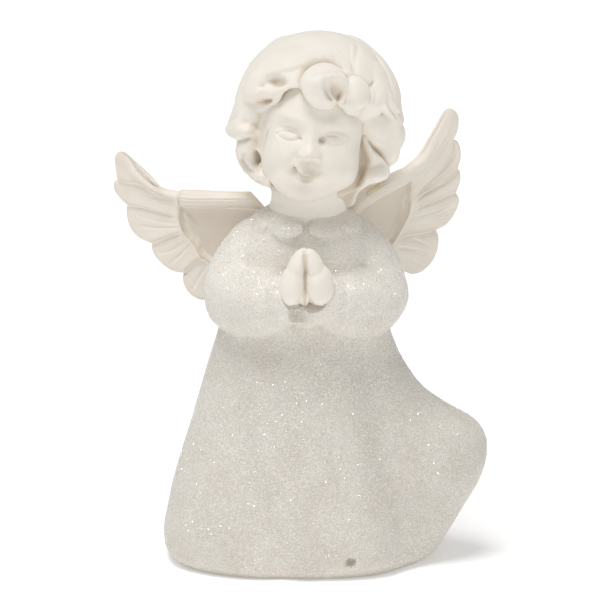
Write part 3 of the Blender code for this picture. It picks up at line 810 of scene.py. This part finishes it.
# Locks at the back, from the whorl down: each swings as it falls and kicks out at its end. Six
# longitudes, then the last three half widths, the last two heights and the last lift
BACK_LOCKS = (
    ((128, 120, 108, 114, 106, 112), (2.6, 2.3, 1.2), (85, 80.6), 1.6),
    ((148, 140, 132, 138, 128, 134), (2.6, 2.4, 1.3), (84.4, 79.6), 1.8),
    ((170, 162, 152, 160, 152, 160), (2.7, 2.4, 1.3), (84.4, 79.4), 1.9),
    ((194, 186, 176, 183, 176, 184), (2.7, 2.5, 1.3), (84.4, 79.2), 1.9),
    ((216, 210, 198, 206, 199, 207), (2.7, 2.4, 1.3), (84.4, 79.4), 1.9),
    ((238, 232, 222, 230, 223, 231), (2.6, 2.4, 1.3), (84.6, 79.8), 1.8),
)
LOCKS += tuple(
    (0.85, 0.07, tuple(zip(turns, (107.4, 102, 96, 90) + low, (0, 0.2, 0.4, 0.5, 0.9, kick),
                           (2.4, 2.9, 2.8) + widths)))
    for turns, widths, low, kick in BACK_LOCKS
)
LOCKS += (
    (0.8, 0.07, ((250, 103, 0, 2.2), (244, 97, 0.4, 2.6), (252, 90.6, 0.5, 2.5),
                  (246, 85.2, 0.8, 2.2), (254, 80.6, 1.5, 1.2))),
)
# Grooves between locks: depth, half width, then longitude and height
HAIR_GROOVES = (
    (0.5, 0.35, ((-5, 101.6), (3, 102.3), (14, 102.6), (24, 102.3))),
    (0.6, 0.35, ((18, 99.9), (16, 98.4), (13, 97.3))),
    (0.45, 0.6, ((77, 107.3), (47, 105.8), (35, 103.6))),
    (0.35, 0.45, ((48, 100.5), (46, 98), (39, 95.9))),
    (0.6, 0.35, ((57, 97.5), (58, 95.2), (66, 92.9))),
    (1.6, 0.7, ((33, 91.8), (35, 89.8), (36, 88.2), (38, 85), (38, 81.9))),
    (1.9, 0.5, ((38, 89.6), (46, 87), (58, 84.8), (70, 83))),
)
# Hollows: longitude, height, half width, half height, depth
HAIR_HOLLOWS = (
    (-37, 101.5, 2.5, 1.2, 1.4),
    (-43, 97.7, 1.5, 1.2, 1.2),
    (-57, 84.6, 1.75, 1.5, 3.1),
    (9.3, 99.5, 3.2, 2.7, 1.5),
    (13, 99.9, 2.1, 2.2, 2.2),
)
# Strands that stand in the hollows: height, half width, then longitude and height
HAIR_STRANDS = (
    (1.3, 0.4, ((-60, 86.1), (-57, 84.8), (-52, 83.4))),
    (0.8, 0.5, ((2, 101.6), (2, 100), (5, 98.6), (9, 97.8))),
    (0.9, 0.42, ((8, 101.6), (8, 100.2), (11, 98.9), (13, 97.9))),
    (0.45, 0.3, ((-1, 101), (-1.5, 99.8), (1, 98.4))),
)
# Curls raised as domes: longitude, height, half width, half height, lift of the rim, rise
HAIR_DOMES = (
    (5, 100.9, 4.5, 4.75, 1.3, 1.9),
    (31, 99.6, 2.6, 3.3, 0.5, 1.7),
)


def hair_profile():
    """Rows of height, middle x, middle y, half width and half depth from the crown down."""
    turn = np.linspace(0.02, math.pi / 2, 60)
    wide, deep = np.sin(turn) * HAIR_WIDEST[3], np.sin(turn) * HAIR_WIDEST[4]
    above = np.column_stack([HAIR_WIDEST[0] + HAIR_TOP * np.cos(turn),
                             np.full(60, HAIR_WIDEST[1]), np.full(60, HAIR_WIDEST[2]), wide, deep])
    below = smooth_path((above[-4], HAIR_WIDEST) + HAIR_BELOW, 150)
    below = below[below[:, 0] < HAIR_WIDEST[0] - 0.05]
    return np.concatenate([above, below])


HAIR_PROFILE = hair_profile()


def on_hair(longitude, height):
    """Points on the hair's even outer skin, and the way outwards there: an oval at each height."""
    x0, y0, wide, deep = (np.interp(-height, -HAIR_PROFILE[:, 0], HAIR_PROFILE[:, k])
                          for k in range(1, 5))
    a = np.radians(longitude)
    point = np.stack([x0 + wide * np.sin(a), y0 - deep * np.cos(a), height + 0 * a], axis=-1)
    middle = np.stack([x0, y0, np.minimum(height, 93.3)], axis=-1)
    return point, unit(point - middle)


def nearest(points, path):
    """For each point, how far it is from the path, and the number of the nearest path point."""
    apart = (points**2).sum(axis=1)[:, None] + (path**2).sum(axis=1) - 2 * points @ path.T
    return np.sqrt(np.maximum(apart.min(axis=1), 0)), apart.argmin(axis=1)


def hair_relief(points, way, longitude):
    """How far the hair stands out from its even skin: the highest of the locks, each a
    half-round ridge along a path, and of the domes, less grooves and hollows, plus strands,
    a roll over the brow, and a last groove round the forelock."""
    relief = -0.25 * smooth_step(way[:, 1], -0.2, 0.5)
    for crown, fine, rows in LOCKS:
        track = smooth_path(rows, 60)
        path = on_hair(track[:, 0], track[:, 1])[0]
        width = track[:, 3] * rounded(60, 12)
        middle = path.mean(axis=0)
        near = np.flatnonzero(np.linalg.norm(points - middle, axis=1)
                              < np.linalg.norm(path - middle, axis=1).max() + 5)
        far, at = nearest(points[near], path)
        across = far / width[at]
        ahead = unit(np.gradient(path, axis=0))[at]
        side = np.sign(np.einsum("ij,ij->i", np.cross(ahead, way[near]), points[near] - path[at]))
        inside = np.clip(1 - across**2, 0, 1)
        ridge = track[at, 2] + crown * inside**0.7
        ridge = ridge + fine * np.cos(TAU * side * far / 0.85) * inside
        relief[near] = blend_max(relief[near], ridge - 2.2 * np.maximum(far - width[at], 0), 0.14)
    for lon, height, wide, high, lift, rise in HAIR_DOMES:
        relief = blend_max(relief, dome(points, lon, height, wide, high, lift, rise), 0.12)
    for depth, width, rows in HAIR_GROOVES:
        path = smooth_path(rows, 60)
        path = on_hair(path[:, 0], path[:, 1])[0]
        far, at = nearest(points, path)
        fade = np.sin(np.linspace(0.3, math.pi - 0.3, 60)) ** 0.4
        relief = relief - depth * bell(far, width) * fade[at]
    for lon, height, wide, high, depth in HAIR_HOLLOWS:
        relief = relief - depth * np.exp(-local_distance(points, lon, height, wide, high) ** 4)
    for rise, width, rows in HAIR_STRANDS:
        path = smooth_path(rows, 60)
        far, at = nearest(points, on_hair(path[:, 0], path[:, 1])[0])
        fade = np.sin(np.linspace(0.3, math.pi - 0.3, 60)) ** 0.5
        relief = relief + rise * bell(far, width) * fade[at]
    relief = relief + 0.9 * bell(points[:, 2] - 101.6, 1.6) * bell(longitude + 10, 28)
    ring = local_distance(points, *HAIR_DOMES[0][:4])
    part = smooth_step(-longitude, -24, -12) + smooth_step(points[:, 2], 103.5, 104.5)
    return relief - 0.75 * bell(ring - 1.2, 0.14) * np.clip(part, 0, 1) * (way[:, 1] < 0)


def blend_max(first, second, soft):
    """The greater of two heights, with the corner between them rounded."""
    near = np.clip(soft - np.abs(first - second), 0, soft)
    return np.maximum(first, second) + near**2 / (4 * soft)


def local_distance(points, longitude, height, wide, high):
    """Distance from a place on the hair, in shares of a half width and a half height."""
    centre, out = on_hair(np.array(float(longitude)), np.array(float(height)))
    turn = math.radians(longitude)
    across = unit(np.array([math.cos(turn), math.sin(turn), 0]))
    up = np.cross(out, across)
    away = points - centre
    return np.sqrt((away @ across / wide) ** 2 + (away @ up / high) ** 2 + (away @ out / 6) ** 2)


def dome(points, longitude, height, wide, high, lift, rise):
    """Half an ellipsoid standing on the hair, with steep sides below its rim."""
    far = local_distance(points, longitude, height, wide, high)
    skirt = 2.5 * min(wide, high) * np.maximum(far - 1, 0)
    return lift + rise * np.sqrt(np.clip(1 - far**2, 0, 1)) - skirt


def smoothed(grid, times):
    """Each point moved halfway to the mean of its four neighbours on the grid."""
    for _ in range(times):
        mean = (np.roll(grid, 1, axis=1) + np.roll(grid, -1, axis=1)) / 2
        inner = (grid[2:] + grid[:-2]) / 2
        new = grid.copy()
        new[1:-1] = 0.5 * grid[1:-1] + 0.25 * (mean[1:-1] + inner)
        grid = new
    return grid


def face_depth(x, z, behind):
    """y of the face's plain ellipsoid at x and z, or with behind = 1 some millimetres behind
    it. Past the outline it falls away."""
    level = np.stack([x, 0 * x, z], axis=-1) - HEAD_CENTRE * (1, 0, 1)
    level = (level @ turn_about_y(HEAD_LEAN).T - FACE_CENTRE * (1, 0, 1)) / FACE_RADII
    out = 1 - level[:, 0] ** 2 - level[:, 2] ** 2
    front = FACE_RADII[1] * np.sqrt(np.clip(out, 0, 1))
    front -= behind * (0.9 + 2.8 * smooth_step(out, 0.10, 0.45))
    return HEAD_CENTRE[1] + FACE_CENTRE[1] - front + 25 * np.clip(-out, 0, 1)


def make_hair():
    """Hair: ovals from the crown to the neck, pushed out by the relief of the locks, laid down
    on the temples beside the opening for the face, and drawn in behind the face within it.
    Its grooves, hollows and the gap behind the face get painted shade."""
    rows, around = 230, 430
    profile = HAIR_PROFILE
    step = np.hypot(np.diff(profile[:, 0]), np.diff(profile[:, 3]))
    length = np.concatenate([[0], np.cumsum(step)])
    height = np.interp(np.linspace(0, length[-1], rows), length, profile[:, 0])
    longitude = np.linspace(-180, 180, around, endpoint=False)
    z, lon = np.meshgrid(height, longitude, indexing="ij")
    points, way = on_hair(lon.ravel(), z.ravel())
    relief = hair_relief(points, way, lon.ravel())
    low = smooth_step(points[:, 2], 74.0, 78.0)
    relief += (0.2 - relief) * smooth_step(points[:, 2], 106.2, 108.6)
    skin = points + way * (relief * low)[:, None]
    left = np.interp(skin[:, 2], FACE_OPENING[:, 0], FACE_OPENING[:, 1])
    right = np.interp(skin[:, 2], FACE_OPENING[:, 0], FACE_OPENING[:, 2])
    laid = bell(np.maximum(left - skin[:, 0], 0), 3.2) * smooth_step(skin[:, 2], 80, 84)
    laid += bell(np.maximum(skin[:, 0] - right, 0), 2.2) * smooth_step(skin[:, 2], 90, 93)
    fade = np.where(skin[:, 0] < 1, 4.5, 8.0)
    laid = np.clip(laid, 0, 1) * smooth_step(99.5 - skin[:, 2], 0, fade)
    laid = smooth_step(laid, 0.05, 1.0) * smooth_step(-way[:, 1], 0.30, 0.65)
    over = face_depth(skin[:, 0], skin[:, 2], 0.0) - 0.7
    skin[:, 1] += laid * np.clip(over - skin[:, 1], 0, 3.4)
    inside = smooth_step(skin[:, 0] - left, -0.3, 0.7) * smooth_step(right - skin[:, 0], -0.2, 1.2)
    inside = inside * smooth_step(100.6 - skin[:, 2], 0.0, 0.6) * (way[:, 1] < 0)
    inside = inside * smooth_step(-relief, -1.0, -0.8)
    behind = np.minimum(face_depth(skin[:, 0], skin[:, 2], 1.0), GAP_FLOOR_Y)
    skin[:, 1] += (np.maximum(skin[:, 1], behind) - skin[:, 1]) * inside
    grid = smoothed(skin.reshape(rows, around, 3), 3)
    mesh = mesh_of("hair", *tube(grid[::-1]))
    # Painted shade, on top of the hollows': more where the hair sinks deep, and in the gap behind
    # the face's opening.
    sunk = np.maximum(0.4 * smooth_step(-relief, 0.3, 2.0), 0.40 * inside)
    mark_hollow_shade(mesh, 40, sunk.reshape(rows, around)[::-1].ravel())
    return piece("hair", mesh, PAINT, "plain_resin", "head")


# ------------------------------------------------------------------ hands


def make_hands():
    """Hands: for each, a plump palm, a heel and four fingers laid side by side, flat rods that
    meet at the fingertips. A groove parts the two hands."""
    forms = []
    for side, bulk in ((1, 1.0), (-1, 0.86)):
        lean = turn_about_y(-14 * side)
        x = -0.2 + 2.9 * side * bulk
        forms.append(ball((x, -17.6, 61.4), (3.1 * bulk, 3.4, 4.6), lean))
        forms.append(ball((x - 1.0 * side, -17.6, 65.0), (2.0, 2.9, 4.0), turn_about_y(-22 * side)))
        forms.append(ball((x - 0.3 * side, -15.6, 59.0), (2.3 * bulk, 2.4, 2.6)))
        for k in range(4):
            y = -19.6 + 1.3 * k
            top = 68.7 - 0.4 * abs(k - 1.2)
            tip = -18.0 + 0.5 * (y + 17.65)
            rows = ((1.7 * side, y, 63.6, 1.0), (1.05 * side, 0.4 * y + 0.6 * tip, 66.4, 0.85),
                    (0.45 * side, tip, top, 0.6))
            track = smooth_path(rows, 30) + (-0.2, 0, 0, 0)
            width = track[:, 3] * rounded(30, 10)
            forms.append(sweep(track[:, :3], width * 0.82, width, (0, 1, 0), sides=16))
    forms.append(ball((-0.3, -15.9, 60.6), (1.7, 2.9, 4.2)))
    mesh = fuse("hands", forms, 0.16, 4)
    corners = corners_of(mesh)
    front = smooth_step(-corners[:, 1], 15.0, 17.5)
    middle = -0.35 + 0.2 * np.sin((corners[:, 2] - 56) / 4)
    corners[:, 1] += 0.8 * front * bell(corners[:, 0] - middle, 0.36)
    put_corners(mesh, corners)
    mark_hollow_shade(mesh, 40)
    return piece("hands", mesh, PAINT, "plain_resin", "praying_hands")


# ------------------------------------------------------------------ wings

WING_ROOT = np.array([9.0, 8.6, 74.4])
WING_PIVOT_T = -9.0
WING_MIDDLE = np.array([13.5, -8.0])
FRONT_HALF, BACK_HALF = 1.15, 1.05
RIM_RADIUS = 1.15
PANEL_DEPTH = 0.95


def even_steps(path, count):
    """The closed path read at even steps of its length."""
    closed = np.concatenate([path, path[:1]])
    length = np.concatenate([[0], np.cumsum(np.linalg.norm(np.diff(closed, axis=0), axis=1))])
    at = np.linspace(0, length[-1], count, endpoint=False)
    return np.stack([np.interp(at, length, closed[:, k]) for k in (0, 1)], axis=-1)


def wing_skin(design):
    """A wing in its plane, where s runs outwards, t up and y is depth: shrunken copies of its
    outline about its middle. Depth on the two faces is a slab with a rounded rim, and the front
    has the relief of the feathers. It also returns the painted shade of each point, on the
    front's panel only."""
    rows, around = 112, 440
    outline = [smooth_path(part, 40)[:-1] for part in design["outline"]]
    rim = even_steps(np.concatenate(outline), around)
    share = np.sin(np.linspace(0.006, 1, rows) * math.pi / 2)[:, None, None] ** 0.85
    flat = (WING_MIDDLE + share * (rim - WING_MIDDLE)).reshape(-1, 2)
    inset = nearest(flat, rim)[0]
    edge = np.sqrt(np.clip(1 - (1 - np.clip(inset / RIM_RADIUS, 0, 1)) ** 2, 0, 1))
    relief, sunk = wing_relief(flat, design)
    near = np.column_stack([flat[:, 0], -edge * (FRONT_HALF + relief), flat[:, 1]])
    back = BACK_HALF + back_relief(flat, design)
    far = np.column_stack([flat[:, 0], edge * back, flat[:, 1]])
    near = near.reshape(rows, around, 3)
    far = far.reshape(rows, around, 3)
    sunk = sunk.reshape(rows, around)
    # sunk carries the front's painted shade; the back face gets none.
    return np.concatenate([far[:-1], near[::-1]]), np.concatenate([0 * sunk[:-1], sunk[::-1]])


def signed_distance(flat, path):
    """Distance from a path in the wing's plane, positive on its left-hand side, and the nearest
    path point's number."""
    far, at = nearest(flat, path)
    ahead = unit(np.gradient(path, axis=0))[at]
    away = flat - path[at]
    return far * np.sign(ahead[:, 0] * away[:, 1] - ahead[:, 1] * away[:, 0]), at


def wing_relief(flat, design):
    """Front of a wing: a step down past each feather's edge that the next feather rises from, a
    groove along it, fine barbs, the ribbed bar of the leading edge, the sunk panel inside and
    the raised seam between the panel and the feathers. It returns this relief and the painted
    shade of the sunk panel."""
    relief = np.zeros(len(flat))
    for rows, step, groove in design["steps"]:
        path = smooth_path(rows, 70)
        far, at = signed_distance(flat, path)
        fade = smooth_step(at / 69, -0.02, 0.05) * smooth_step(1 - at / 69, 0.0, 0.22)
        drop = smooth_step(far, -0.12, 0.2) * np.exp(-np.maximum(far, 0) / 2.4)
        relief -= fade * (step * drop + groove * bell(far - 0.12, 0.34))
        relief += fade * step * 0.3 * smooth_step(-far, 0, 0.3) * np.exp(-np.maximum(-far, 0) / 1.2)
    for rows, depth, width in design["grooves"]:
        far, at = nearest(flat, smooth_path(rows, 50))
        relief -= depth * bell(far, 1.3 * width) * np.sin(np.linspace(0.2, 2.94, 50))[at] ** 0.5
    for rows, height, width in design["ridges"]:
        far, at = nearest(flat, smooth_path(rows, 50))
        relief += height * bell(far, width) * np.sin(np.linspace(0.25, 2.89, 50))[at] ** 0.5
    seam = smooth_path(design["seam"], 90)
    far, at = signed_distance(flat, seam)
    inner = smooth_step(-far, -0.1, 0.5)
    bar = smooth_path(design["bar"], 90)
    off, along = signed_distance(flat, bar[:, :2])
    across = off / bar[along, 2]
    over = smooth_step(1 - np.abs(across), 0.0, 0.08)
    relief = relief * (1 - inner) - PANEL_DEPTH * inner
    lift = bar[along, 3] * np.sqrt(np.clip(1 - across**2, 0, 1))
    ribs = design["ribs"] * np.cos(TAU * (off / 0.62 + 0.15 * np.sin(along / 9.0)))
    ends = smooth_step(bar.shape[0] - 1.0 - along, 0.0, design["fade"])
    raised = np.maximum(lift + ribs * (lift > 0.2), relief)
    relief = np.where((np.abs(across) < 1) & (ends > 0), over * ends * raised
                      + (1 - over * ends) * relief, relief)
    # Painted shade on the sunk panel, except under the bar.
    shade = 0.17 * inner * (1 - over * (ends > 0))
    return relief, shade


def back_relief(flat, design):
    """Back of a wing: the same feathers, softly."""
    relief = np.zeros(len(flat))
    for rows, step, _ in design["steps"]:
        far, at = signed_distance(flat, smooth_path(rows, 70))
        fade = smooth_step(1 - at / 69, 0.0, 0.3)
        drop = smooth_step(far, -0.2, 0.2) * np.exp(-np.maximum(far, 0) / 2.4)
        relief -= fade * 0.5 * step * drop
    return relief


# Each wing: rim, feather edges (from the rim inwards; step, groove), grooves, ridges, seam, bar
RIGHT_WING = {
    "outline": (
        ((-1, -3.6), (0.6, -1.9), (2.3, -0.2)),
        ((2.3, -0.2), (5.2, -0.4), (9.3, -0.55), (13.4, -0.6), (17.4, -0.75)),
        ((17.4, -0.75), (17.9, -1.05), (19.9, -1), (21.6, -0.6), (23, 0), (24.2, 0.75),
         (25.6, 1.8), (27, 3.2), (28.2, 4.7), (29.2, 5.9), (30.1, 6.4), (31, 6.2), (31.6, 5.4),
         (31.7, 4.2), (31.5, 2.5), (31.4, 1.3), (31.2, 0.6)),
        ((31.2, 0.6), (31.9, 0.1), (32.1, -0.8), (31.9, -1.7), (31.3, -2.7), (30.4, -3.7),
         (29.2, -4.6)),
        ((29.2, -4.6), (29.4, -5.6), (29.3, -7.2), (28.9, -8.8), (28.1, -10.2), (26.9, -11.3),
         (25.4, -12), (23.9, -12.5)),
        ((23.9, -12.5), (24, -13.4), (23.5, -14.8), (22.4, -16.1), (20.9, -17.3), (19.1, -18.1),
         (17, -18.2)),
        ((17, -18.2), (17.3, -19.4), (16.9, -21), (16, -22.4), (14.7, -23.3), (13.2, -23.7),
         (11.6, -23.2), (9.2, -20.8), (6.6, -16.6), (4, -12), (1.2, -7.8), (-0.8, -4.8),
         (-1, -3.6)),
    ),
    "steps": (
        (((31.2, 0.6), (29.3, 0.2), (26.9, -0.1), (25, -0.7), (22, -2), (19, -3.2)),
         0.42, 0.15),
        (((29.2, -4.6), (26.5, -4.7), (23.8, -5.2), (21, -5.8), (18, -6.3)), 0.45, 0.15),
        (((23.9, -12.5), (22.2, -11.5), (19.7, -10.4), (17, -9.4)), 0.55, 0.15),
        (((17, -18.2), (16.1, -17.4), (14.9, -16.2), (13.4, -15.2), (11.2, -14.4)), 0.55, 0.25),
    ),
    "grooves": (
        (((24.6, -2.3), (21, -2.9), (17.6, -2.9)), 0.22, 0.16),
        (((23.8, -3.4), (21, -3.9), (18, -4.3)), 0.2, 0.15),
        (((26.8, -6.6), (22.5, -7.6), (17.6, -7.7)), 0.18, 0.18),
        (((26, -8.8), (22.5, -9), (18, -8.6)), 0.24, 0.18),
        (((22.4, -14.4), (19.4, -13.6), (16.4, -11.6)), 0.2, 0.18),
        (((19.6, -16.2), (17.6, -14.4), (15.4, -12.2)), 0.22, 0.18),
        (((14.8, -21.4), (13.6, -19), (11.6, -16.2)), 0.22, 0.2),
        (((27.4, 0.05), (26.2, -0.1), (25.2, -0.5)), 0.45, 0.22),
    ),
    "ridges": (
        (((30.4, 4.8), (27.8, 2.2), (24.6, -0.1), (21, -1.5), (18.4, -1.9)), 0.35, 0.8),
        (((17.4, -5.6), (17.1, -7.4), (16.5, -9), (15.6, -10.2)), 0.55, 0.36),
        (((14.9, -10.8), (13.9, -11.8), (13.4, -13.1), (12.4, -14.3), (10.4, -15.2)), 0.6, 0.36),
    ),
    "seam": ((18.3, 0.5), (17.5, -2), (17.3, -4), (17.2, -6.2), (16.8, -8), (16.2, -9.6),
             (14.6, -11), (13.6, -12), (13.2, -13.2), (12.2, -14.4), (9.6, -15.6), (4, -17)),
    "bar": ((-2, -2.2, 1.5, 0.9), (1.5, -2, 1.6, 0.9), (6, -2.1, 1.6, 0.95),
            (12, -2.3, 1.75, 1), (17.7, -2.5, 1.85, 1.05)),
    "ribs": 0.1,
    "fade": 2,
}
LEFT_WING = {
    "outline": (
        ((-0.5, -5.4), (0.6, -3.4), (3, -2.2), (5.9, -1.4), (9, -1.2), (11.8, -1.2), (14.6, -1.25),
         (16.2, -1.4), (18, -1.15), (20.3, -0.5), (22.5, 0.8), (24.7, 2.4), (26.8, 3.9),
         (28.4, 5.1), (29.5, 5.7), (30.6, 5.5), (31.4, 4.6), (31.6, 3.3), (31.2, 1.8), (30.4, 0.4),
         (29.1, -0.8)),
        ((29.1, -0.8), (29.9, -1.8), (30.1, -3.3), (29.5, -5.3), (28.2, -7.1)),
        ((28.2, -7.1), (28.5, -8.3), (27.8, -10.1), (26.2, -11.8)),
        ((26.2, -11.8), (26.5, -13.4), (25.3, -15.2), (23.2, -16.7), (21.4, -17.3), (19.4, -17.2)),
        ((19.4, -17.2), (19.4, -18.8), (18.8, -20.4), (17.9, -21.8), (16.4, -23.1), (14.4, -23.9),
         (12.5, -24), (10.6, -23.2), (8.6, -20.4), (6.6, -16), (4.6, -12.6), (1, -10),
         (-0.6, -7.6), (-0.5, -5.4)),
    ),
    "steps": (
        (((29.1, -0.8), (28, -3), (25.9, -4.7), (23.3, -5.8), (20.3, -6.7), (17.6, -7.5),
          (15.3, -8.3)), 0.5, 0.35),
        (((28.2, -7.1), (25.4, -8.1), (22.5, -8.4), (19, -8.6), (15.6, -9.1)), 0.5, 0.45),
        (((26.2, -11.8), (24.6, -11.3), (22.8, -11.3), (20.4, -11.1), (17.9, -10.8), (14.9, -10.6)),
         0.45, 0.35),
        (((19.4, -17.2), (15.9, -16.2), (12.4, -15.1), (9.2, -14.5)), 0.75, 0.45),
    ),
    "grooves": (
        (((24.8, -13.6), (21.4, -13.5), (17.4, -12.8), (14, -11.6)), 0.45, 0.26),
        (((22.6, -15.6), (19.4, -14.9), (15.6, -13.6)), 0.22, 0.22),
        (((9.4, -16.4), (11.9, -17.8), (14.2, -19.4), (16, -20.4)), 0.45, 0.28),
        (((13.4, -16.4), (14.8, -17.6), (16.2, -19)), 0.35, 0.25),
        (((12, -20.6), (13.2, -21.8), (14.6, -22.8)), 0.2, 0.2),
        (((27.8, 2.4), (24.6, 0), (21.4, -2.2), (18, -3.8)), 0.16, 0.22),
        (((27.6, 0.4), (24.8, -1.8), (21, -3.8), (17.2, -5.4)), 0.22, 0.22),
        (((29, -3.8), (26.4, -6), (22.6, -7), (18.6, -7.8)), 0.2, 0.2),
    ),
    "ridges": (
        (((30.2, 4), (27.6, 1.6), (24, -0.6), (20.6, -1.9), (17.4, -2.2)), 0.35, 0.9),
        (((14.6, -8.4), (14, -9.6), (13, -10.9), (11, -12.6), (8.6, -14.4)), 0.65, 0.4),
    ),
    "seam": ((18.4, 0.5), (17.4, -2), (16.6, -4), (15.6, -6.4), (14.6, -8.4), (13.8, -9.8),
             (12.8, -11), (10.8, -12.7), (8.4, -14.5), (3, -17)),
    "bar": ((-2, -5.4, 1.5, 0.9), (2, -3.9, 1.6, 0.9), (6, -3, 1.7, 0.95),
            (12, -2.8, 1.8, 0.85), (16, -2.7, 1.8, 0.5), (20, -2, 1.7, 0.1)),
    "ribs": 0.04,
    "fade": 12,
}


def make_wing(name, side, sweep_angle, lift, node, design):
    """Wing: its skin is worked out in its own plane, then turned up, swept back and set at its
    root; the other side's is mirrored."""
    grid, sunk = wing_skin(design)
    corners, faces = tube(smoothed(grid, 2))
    corners = corners.copy()
    corners[:, 2] -= WING_PIVOT_T
    x, z = turned(corners[:, 0], corners[:, 2], lift)
    x, y = turned(x, corners[:, 1], sweep_angle)
    placed = np.column_stack([x, y, z + WING_PIVOT_T]) + WING_ROOT
    placed[:, 0] *= side
    if side < 0:
        faces = [face[::-1] for face in faces]
    mesh = mesh_of(name, placed, faces)
    # Painted shade: 0.10 mm more over the whole wing, as it stands back behind the body, plus the
    # panel's.
    mark_hollow_shade(mesh, 30, 0.10 + sunk.ravel())
    return piece(name, mesh, PAINT, "plain_resin", node)


def make_glue_bead():
    """Adhesive squeezed out along the top of the left wing's root."""
    rows = ((12.4, 8.3, 73.9, 0.30), (13.6, 9.0, 74.6, 0.50), (14.9, 9.9, 75.3, 0.45),
            (16.2, 10.7, 76.0, 0.25))
    track = smooth_path(rows, 40)
    width = track[:, 3] * rounded(40) * (1 + 0.15 * np.sin(np.linspace(0, 17, 40)))
    shape = sweep(track[:, :3], width, width, (0, -1, 1), sides=16)
    return piece("glue_bead", mesh_of("glue_bead", *shape), ADHESIVE, "adhesive")


# ------------------------------------------------------------------ assembly

robe = make_robe()
for band in GLITTER_BANDS:
    make_flakes(robe, *band)
make_face()
make_neck()
make_hair()
make_hands()
make_wing("wing_left", 1, 33.0, 18.0, "left_wing", LEFT_WING)
make_wing("wing_right", -1, 20.0, -1.0, "right_wing", RIGHT_WING)
make_glue_bead()
for name in ("neck_glue", "hands_glue", "left_wing_glue", "right_wing_glue"):
    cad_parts[name].material_slots[0].material = ADHESIVE
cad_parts["base_pad"].material_slots[0].material = FELT


# ------------------------------------------------------------------ floor, lights and camera

CAMERA_HEIGHT_ANGLE = math.radians(14)
TARGET = Vector((-0.0012, 0.0, 0.0537))
DISTANCE = 2.716
FLOOR_HALF = 3000.0
# Soft square lights: name, place, size, power
LIGHTS = (
    ("fill", (0.15, -1.6, 0.5), 1.0, 3.4),
    ("left_edge", (-1.3, 0.8, 0.6), 1.2, 1.8),
    ("right_edge", (1.3, 0.8, 0.6), 1.2, 1.8),
)


def make_floor():
    """A wide flat floor, painted white and faintly lit from within."""
    corners = np.array([(-1, -1, 0), (1, -1, 0), (1, 1, 0), (-1, 1, 0)]) * FLOOR_HALF
    mesh = mesh_of("floor", corners, [(0, 1, 2, 3)])
    made = link("floor", mesh)
    paint = Finish("floor_white", Roughness=0.9, Specular_IOR_Level=0.2, Emission_Strength=0.22)
    paint.set("Emission Color", (1.0, 1.0, 1.0, 1.0))
    paint.set("Base Color", (0.90, 0.90, 0.90, 1.0))
    mesh.materials.append(paint.material)


def looking(way):
    """The turn that points a light or a camera along a way."""
    return way.to_track_quat("-Z", "Y").to_euler()


def make_light(name, place, size, power):
    """A square soft light aimed at the figurine."""
    data = bpy.data.lights.new(name, "AREA")
    data.size = size
    data.energy = power
    made = link(name, data)
    made.location = place
    made.rotation_euler = looking(TARGET - Vector(place))


make_floor()
sun_data = bpy.data.lights.new("key", "SUN")
sun_data.energy = 1.9
sun_data.angle = 0.5
link("key", sun_data).rotation_euler = looking(Vector((0.16, 0.20, -1.0)))
for light in LIGHTS:
    make_light(*light)

bpy.context.scene.view_settings.view_transform = "Standard"
world = bpy.data.worlds.new("studio")
bpy.context.scene.world = world
world.use_nodes = True
background = world.node_tree.nodes["Background"]
background.inputs["Color"].default_value = (1.0, 1.0, 1.0, 1.0)
background.inputs["Strength"].default_value = 0.38

camera_data = bpy.data.cameras.new("camera")
camera_data.lens = 800.0
camera_data.clip_end = 20.0
camera_data.sensor_width = 36.0
camera = link("camera", camera_data)
away = Vector((0.0, -math.cos(CAMERA_HEIGHT_ANGLE), math.sin(CAMERA_HEIGHT_ANGLE)))
camera.location = TARGET + DISTANCE * away
camera.rotation_euler = looking(-away)
bpy.context.scene.camera = camera
